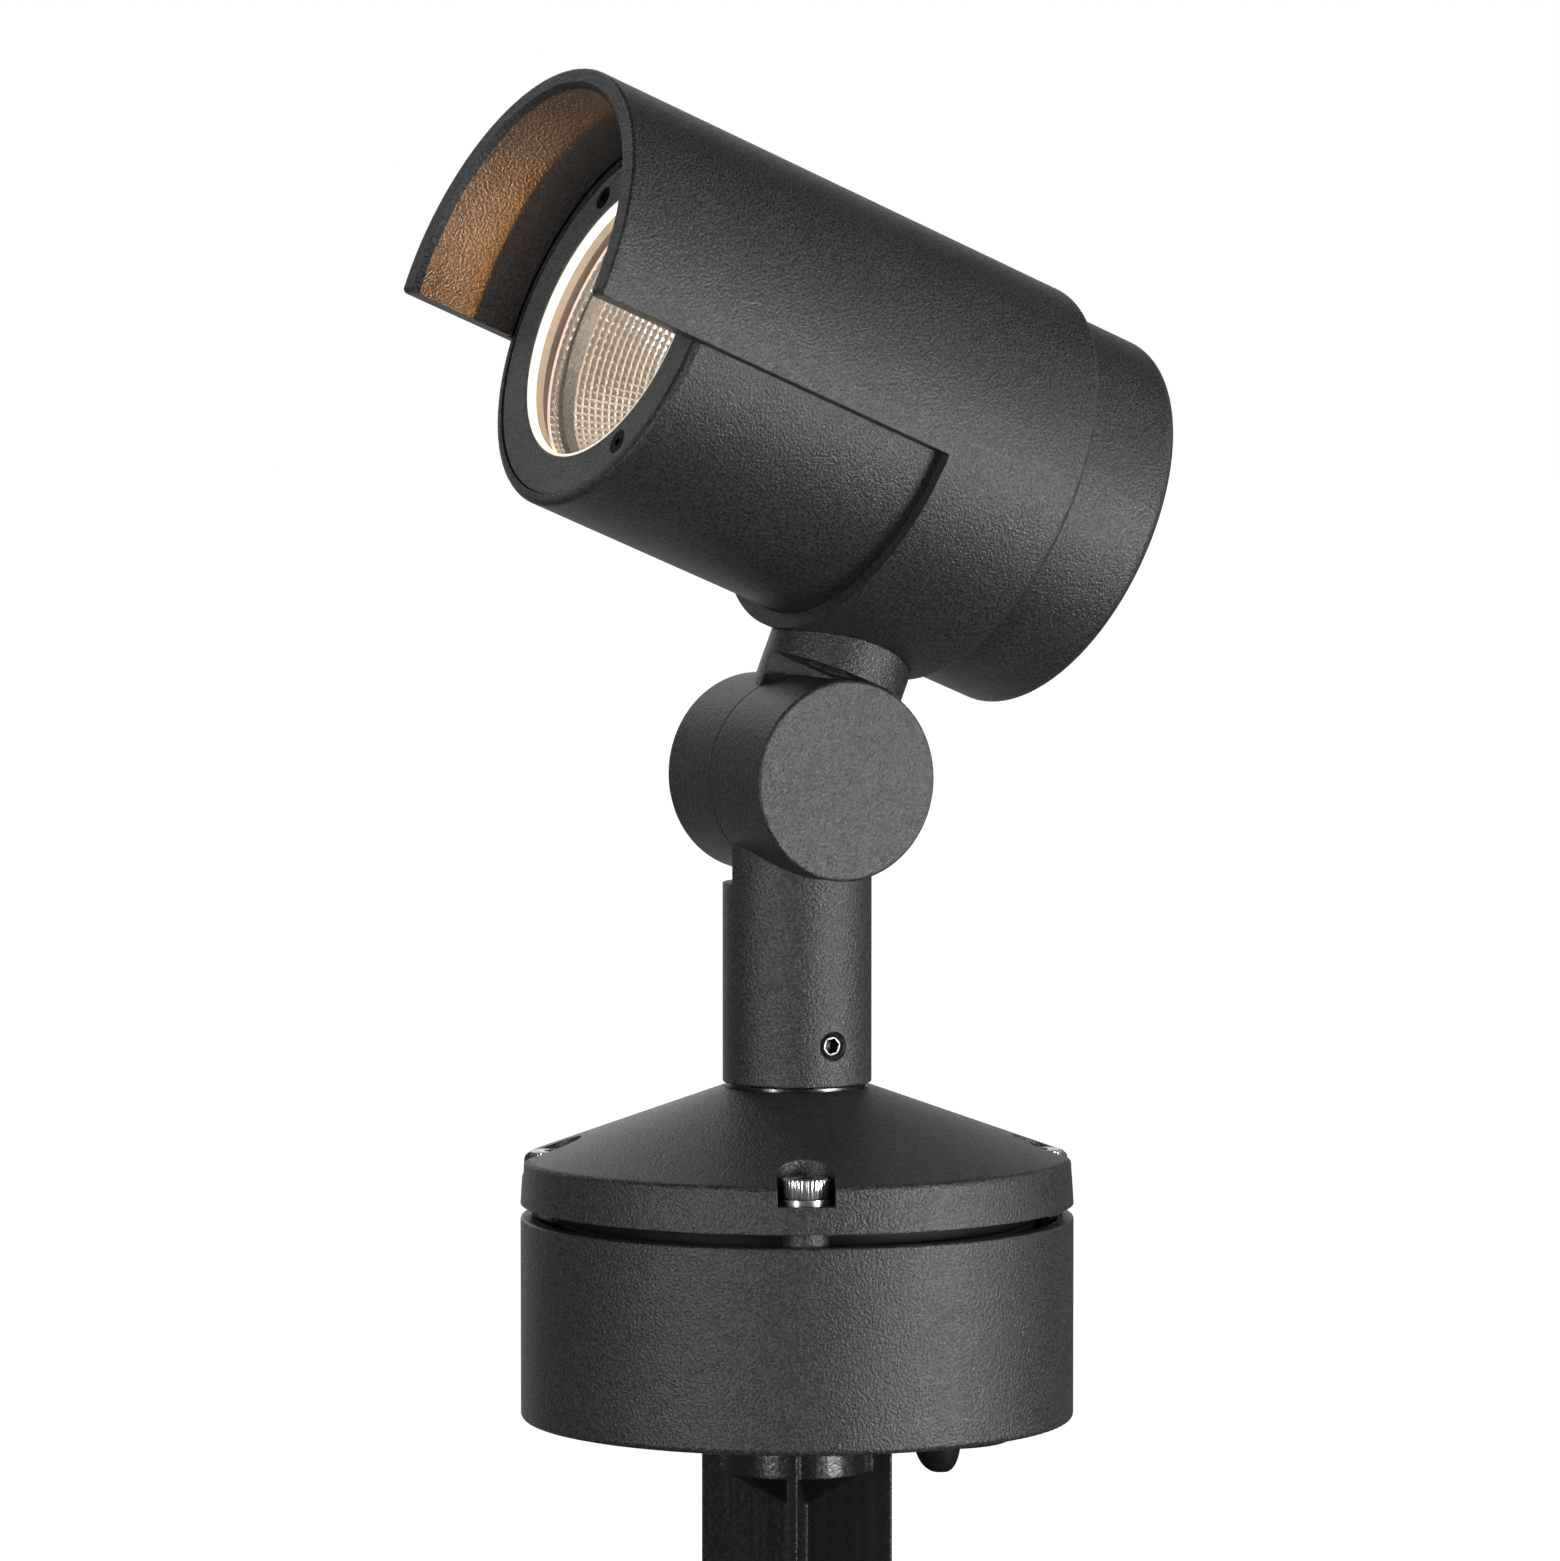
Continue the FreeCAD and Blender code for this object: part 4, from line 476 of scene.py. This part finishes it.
# ---- screws --------------------------------------------------------------------------------------
LID_SCREW = {"head_r": 4.25, "head_h": 3.6, "shank_r": 2.5, "flats": 3.0, "depth": 2.0,
             "teeth": 36}
SET_SCREW = {"head_r": 2.0, "head_h": 0.0, "shank_r": 2.0, "flats": 2.4, "depth": 1.6}
KNURL_DEPTH = 0.17
SMOOTH_STEPS = 96       # points round a screw without knurls
KNURL_STEPS = 4         # points per knurl
SOCKET_RIM = 0.25       # the socket is wider by this at its mouth
SOCKET_RIM_H = 0.15


def skin(form, loops, index=0):
    """Bands between loops of points, all of equal length."""
    rings = [[form.verts.new(point) for point in loop] for loop in loops]
    for inner, outer in zip(rings, rings[1:]):
        join(form, inner, outer, index)
    return rings


def fan(form, points, tip, index=0):
    """Triangles from a closed ring to a tip."""
    centre = form.verts.new(tip)
    for i, vert in enumerate(points):
        form.faces.new((vert, points[(i + 1) % len(points)], centre)).material_index = index


def round_loop(radius, z, count, teeth=0, groove=0.0):
    points = []
    for i in range(count):
        turn = 2 * pi * i / count
        r = radius - groove * (0.5 + 0.5 * cos(teeth * turn)) if teeth else radius
        points.append(around(r, turn, z))
    return points


def hex_loop(flats, z, count):
    points = []
    for i in range(count):
        turn = 2 * pi * i / count
        off = (turn + pi / 6) % (pi / 3) - pi / 6
        points.append(around(flats / 2 / cos(off), turn, z))
    return points


def socket_screw(form, place, length, head_r, head_h, shank_r, flats, depth, teeth=0):
    """Socket screw with its head on z = 0 and its shank below, moved by place.
    A set screw has a head of no height and no more than the shank's radius."""
    count = teeth * KNURL_STEPS if teeth else SMOOTH_STEPS
    edge = min(0.35, head_h * 0.15) if head_h else 0.25
    base_z = 0.0 if head_r > shank_r else -length + 0.3
    outer = [round_loop(shank_r * 0.75, -length, count)]
    if head_r > shank_r:
        outer += [round_loop(shank_r, -length + shank_r * 0.25, count),
                  round_loop(shank_r, 0, count), round_loop(head_r - edge * 0.6, 0, count)]
    outer += [round_loop(head_r, base_z + edge * 0.6, count, teeth, KNURL_DEPTH),
              round_loop(head_r, head_h - edge, count, teeth, KNURL_DEPTH),
              round_loop(head_r - edge * 0.4, head_h - edge * 0.35, count),
              round_loop(head_r - edge * 1.1, head_h, count),
              hex_loop(flats + SOCKET_RIM, head_h, count),
              hex_loop(flats, head_h - SOCKET_RIM_H, count)]
    rings = skin(form, [[place @ p for p in loop] for loop in outer])
    fan(form, rings[0], place @ Vector((0, 0, -length)))
    well = [hex_loop(flats, head_h - SOCKET_RIM_H, count), hex_loop(flats, head_h - depth, count)]
    rings = skin(form, [[place @ p for p in loop] for loop in well], index=1)
    fan(form, rings[1], place @ Vector((0, 0, head_h - depth - flats * 0.15)), 1)


def lid_screw_set(form):
    """The four lid screws, each turned in its own way as after tightening."""
    length = SCREW_SEAT_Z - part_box("lid_screws")[0].z / MM
    seat = Matrix.Translation((SCREW_PITCH_R, 0, SCREW_SEAT_Z))
    for k in range(SCREW_COUNT):
        turn = Matrix.Rotation(radians(SCREW_ANGLE + 90 * k), 4, "Z")
        place = turn @ seat @ Matrix.Rotation(0.3 + k, 4, "Z")
        socket_screw(form, place, length, **LID_SCREW)


def set_screw(form):
    low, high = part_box("stem_set_screw")
    middle = (low + high) / 2 / MM
    length = (high.x - low.x) / MM
    out = Matrix.Translation((high.x / MM, middle.y, middle.z)) @ Matrix.Rotation(pi / 2, 4, "Y")
    socket_screw(form, out @ Matrix.Rotation(0.2, 4, "Z"), length, **SET_SCREW)


def add_screws():
    piece = mesh_piece("lid_screws_knurled", lid_screw_set, ROW, STEEL, "base",
                       40.0, SOCKET)
    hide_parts("lid_screws")
    piece = mesh_piece("stem_set_screw_socket", set_screw, ROW, STEEL_SHADED, "stem",
                       35.0, SOCKET)
    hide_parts("stem_set_screw")


# ---- rings at the pane -------------------------------------------------------------------------
GASKET_LIP_R = 27.35
GASKET_WALL_R = GASKET_OUT_R - 0.08
GASKET_FRONT = PANE_BACK - 0.02
GASKET_LIP_BACK = PANE_BACK - 0.13
GASKET_BACK = PANE_BACK - GASKET_T
GASKET_PROFILE = [(GASKET_LIP_R, GASKET_LIP_BACK), (GASKET_LIP_R, GASKET_FRONT),
                  (GASKET_OUT_R, GASKET_FRONT), (GASKET_OUT_R, GASKET_BACK),
                  (GASKET_WALL_R, GASKET_BACK), (GASKET_WALL_R, GASKET_LIP_BACK)]
EDGE_IN_R = 27.93
EDGE_OUT_R = 27.99
EDGE_PROFILE = [(EDGE_IN_R, PANE_BACK + 0.05), (EDGE_OUT_R, PANE_BACK + 0.1),
                (EDGE_OUT_R, PANE_FRONT - 0.1), (EDGE_IN_R, PANE_FRONT - 0.05)]
RING_STEPS = 120


def turned_ring(form, profile):
    """Closed profile of (r, z) points turned about Z."""
    rings = [ring(form, r, z, RING_STEPS) for r, z in profile]
    for inner, outer in zip(rings, rings[1:] + rings[:1]):
        join(form, inner, outer)


def add_pane_rings():
    """Gasket whose lip lies over the reflector's rim, and the ground edge of the pane."""
    piece = mesh_piece("glass_gasket_lip", lambda form: turned_ring(form, GASKET_PROFILE), HEAD,
                       GASKET, "head")
    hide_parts("glass_gasket")
    mesh_piece("front_glass_edge", lambda form: turned_ring(form, EDGE_PROFILE), HEAD,
               PANE_EDGE, "head")


# ---- camera and light ------------------------------------------------------------------------
CAMERA_AT = (1.26584, -0.70910, 0.21158)
CAMERA_AZIMUTH = 60.865
CAMERA_PITCH = 3.797
CAMERA_LENS = 186.09
AIM = (0, 0, 0.12)

# degrees right of the camera and above level, distance, width and height in metres, watts
SOFTBOXES = (
    ("key", 57, -7, 0.85, 0.34, 0.2, 6.0),
    ("fill", -41, 2, 1.8, 0.2, 0.5, 12.0),
    ("rim", -150, 33, 1.8, 0.5, 0.3, 1.5),
    ("right", 105, 20, 1.8, 1.0, 1.0, 4.5),
)

LAMP_SOURCE_S = 35.3        # mm along the beam
LAMP_CONE = 84              # degrees
LAMP_RADIUS = 0.0018
LAMP_WATTS = 0.27
LAMP_COLOUR = (1.0, 0.38, 0.06)


def add_camera():
    data = bpy.data.cameras.new("view")
    data.sensor_width = 36.0
    data.lens = CAMERA_LENS
    data.clip_start = 0.05
    data.clip_end = 50
    camera = bpy.data.objects.new("view", data)
    camera.location = CAMERA_AT
    camera.rotation_euler = (radians(90 - CAMERA_PITCH), 0, radians(CAMERA_AZIMUTH))
    scene.collection.objects.link(camera)
    scene.camera = camera


def toward(azimuth, elevation, distance, centre=AIM):
    """Point seen from the object at an angle right of the camera and above level, in degrees."""
    base = atan2(CAMERA_AT[1], CAMERA_AT[0])
    turn = base + radians(azimuth)
    flat = cos(radians(elevation)) * distance
    return Vector(centre) + around(flat, turn, sin(radians(elevation)) * distance)


def softbox(name, azimuth, elevation, distance, width, height, watts):
    data = bpy.data.lights.new(name, "AREA")
    data.shape = "RECTANGLE"
    data.size = width
    data.size_y = height
    data.energy = watts
    lamp = bpy.data.objects.new(name, data)
    lamp.location = toward(azimuth, elevation, distance)
    aim = Vector(AIM) - lamp.location
    lamp.rotation_euler = aim.to_track_quat("-Z", "Y").to_euler()
    scene.collection.objects.link(lamp)


def add_lamp_light():
    """The lit lamp itself: a small warm source in the bowl, which moves with the head."""
    data = bpy.data.lights.new("lamp_light", "SPOT")
    data.spot_size = radians(LAMP_CONE)
    data.spot_blend = 0.0
    data.shadow_soft_size = LAMP_RADIUS
    data.energy = LAMP_WATTS
    data.color = LAMP_COLOUR
    lamp = bpy.data.objects.new("lamp_light", data)
    lamp.location = HEAD @ Vector((0, 0, LAMP_SOURCE_S))
    beam = HEAD.to_3x3() @ Vector((0, 0, 1))
    lamp.rotation_euler = beam.to_track_quat("-Z", "Y").to_euler()
    scene.collection.objects.link(lamp)
    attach(lamp, "head")


# ---- surroundings ----------------------------------------------------------------------------
STUDIO_SIDES = 0.12
STUDIO_CEILING = 0.1
CEILING_BAND = (0.3, 0.62)      # height of the direction where the ceiling begins
BACKDROP_AZIMUTH = 192
BACKDROP_BAND = (0.87, 0.985)   # cosine from the backdrop's middle
WORLD_FILL = 0.4
FLOOR_Z = -0.1801
FLOOR_R = 12.0
FLOOR_SHINE = 0.35              # its share of the backdrop's white in reflections
FLOOR_NEAR = 0.82               # how white it is seen under the object, as painted shade
FLOOR_BAND = (0.35, 0.9)        # metres over which that rises to full white


def pale_behind(tree, vector):
    """Share of white in reflections: full behind the object, low at the sides and in front."""
    flat = add(tree, "ShaderNodeVectorMath", operation="MULTIPLY")
    flat.inputs[1].default_value = (1, 1, 0)
    tree.links.new(vector, flat.inputs[0])
    level = add(tree, "ShaderNodeVectorMath", operation="NORMALIZE")
    tree.links.new(flat.outputs[0], level.inputs[0])
    behind = add(tree, "ShaderNodeVectorMath", operation="DOT_PRODUCT")
    tree.links.new(level.outputs[0], behind.inputs[0])
    behind.inputs[1].default_value = toward(BACKDROP_AZIMUTH, 0, 1.0, (0, 0, 0)).normalized()
    return span(tree, behind.outputs["Value"], STUDIO_SIDES, 1.0, BACKDROP_BAND)


def add_world():
    """White where it is seen; for light on the object and for reflections, a dim studio with a
    pale backdrop behind the object and a dark ceiling."""
    world = bpy.data.worlds.new("studio")
    scene.world = world
    world.use_nodes = True
    tree = world.node_tree
    paths = add(tree, "ShaderNodeLightPath")
    in_view = seen(tree, paths)
    glossy_ray = paths.outputs["Is Glossy Ray"]
    place = add(tree, "ShaderNodeTexCoord")
    split = add(tree, "ShaderNodeSeparateXYZ")
    tree.links.new(place.outputs["Generated"], split.inputs[0])
    backdrop = pale_behind(tree, place.outputs["Generated"])
    ceiling = span(tree, split.outputs["Z"], 1.0, STUDIO_CEILING, CEILING_BAND)
    shine = maths(tree, "MULTIPLY", maths(tree, "MULTIPLY", backdrop, ceiling), glossy_ray)
    white = maths(tree, "MAXIMUM", in_view, shine)
    diffuse = maths(tree, "SUBTRACT", 1.0, maths(tree, "MAXIMUM", in_view, glossy_ray))
    fill = maths(tree, "MULTIPLY", diffuse, WORLD_FILL)
    background = tree.nodes["Background"]
    background.inputs["Color"].default_value = (1, 1, 1, 1)
    tree.links.new(maths(tree, "ADD", white, fill), background.inputs["Strength"])


def floor_material():
    """Seen as white paper, with painted shade that makes it a little darker under the object; dim
    in reflections.
    """
    material, tree, shader = new_material("pale_floor")
    shader.inputs["Base Color"].default_value = (0.09, 0.09, 0.09, 1)
    shader.inputs["Roughness"].default_value = 0.8
    shader.inputs["Specular IOR Level"].default_value = 0.1
    shader.inputs["Emission Color"].default_value = (1, 1, 1, 1)
    paths = add(tree, "ShaderNodeLightPath")
    in_view = seen(tree, paths)
    place = add(tree, "ShaderNodeTexCoord").outputs["Object"]
    shine = maths(tree, "MULTIPLY", pale_behind(tree, place), paths.outputs["Is Glossy Ray"])
    shine = maths(tree, "MULTIPLY", shine, FLOOR_SHINE)
    away = add(tree, "ShaderNodeVectorMath", operation="LENGTH")
    tree.links.new(place, away.inputs[0])
    white = span(tree, away.outputs["Value"], FLOOR_NEAR, 1.0, FLOOR_BAND)
    tree.links.new(maths(tree, "MULTIPLY", maths(tree, "MAXIMUM", in_view, shine), white),
                   shader.inputs["Emission Strength"])
    return material


def add_floor():
    mesh = bpy.data.meshes.new("floor")
    form = bmesh.new()
    bmesh.ops.create_circle(form, cap_ends=True, segments=96, radius=FLOOR_R)
    bmesh.ops.translate(form, verts=form.verts, vec=(0, 0, FLOOR_Z))
    form.to_mesh(mesh)
    form.free()
    mesh.materials.append(floor_material())
    floor = bpy.data.objects.new("floor", mesh)
    scene.collection.objects.link(floor)


# ---- put it together -------------------------------------------------------------------------
scene.view_settings.view_transform = "Standard"
finish_nodes()
add_reflector()
add_screws()
add_pane_rings()
add_camera()
add_world()
add_floor()
for settings in SOFTBOXES:
    softbox(*settings)
add_lamp_light()
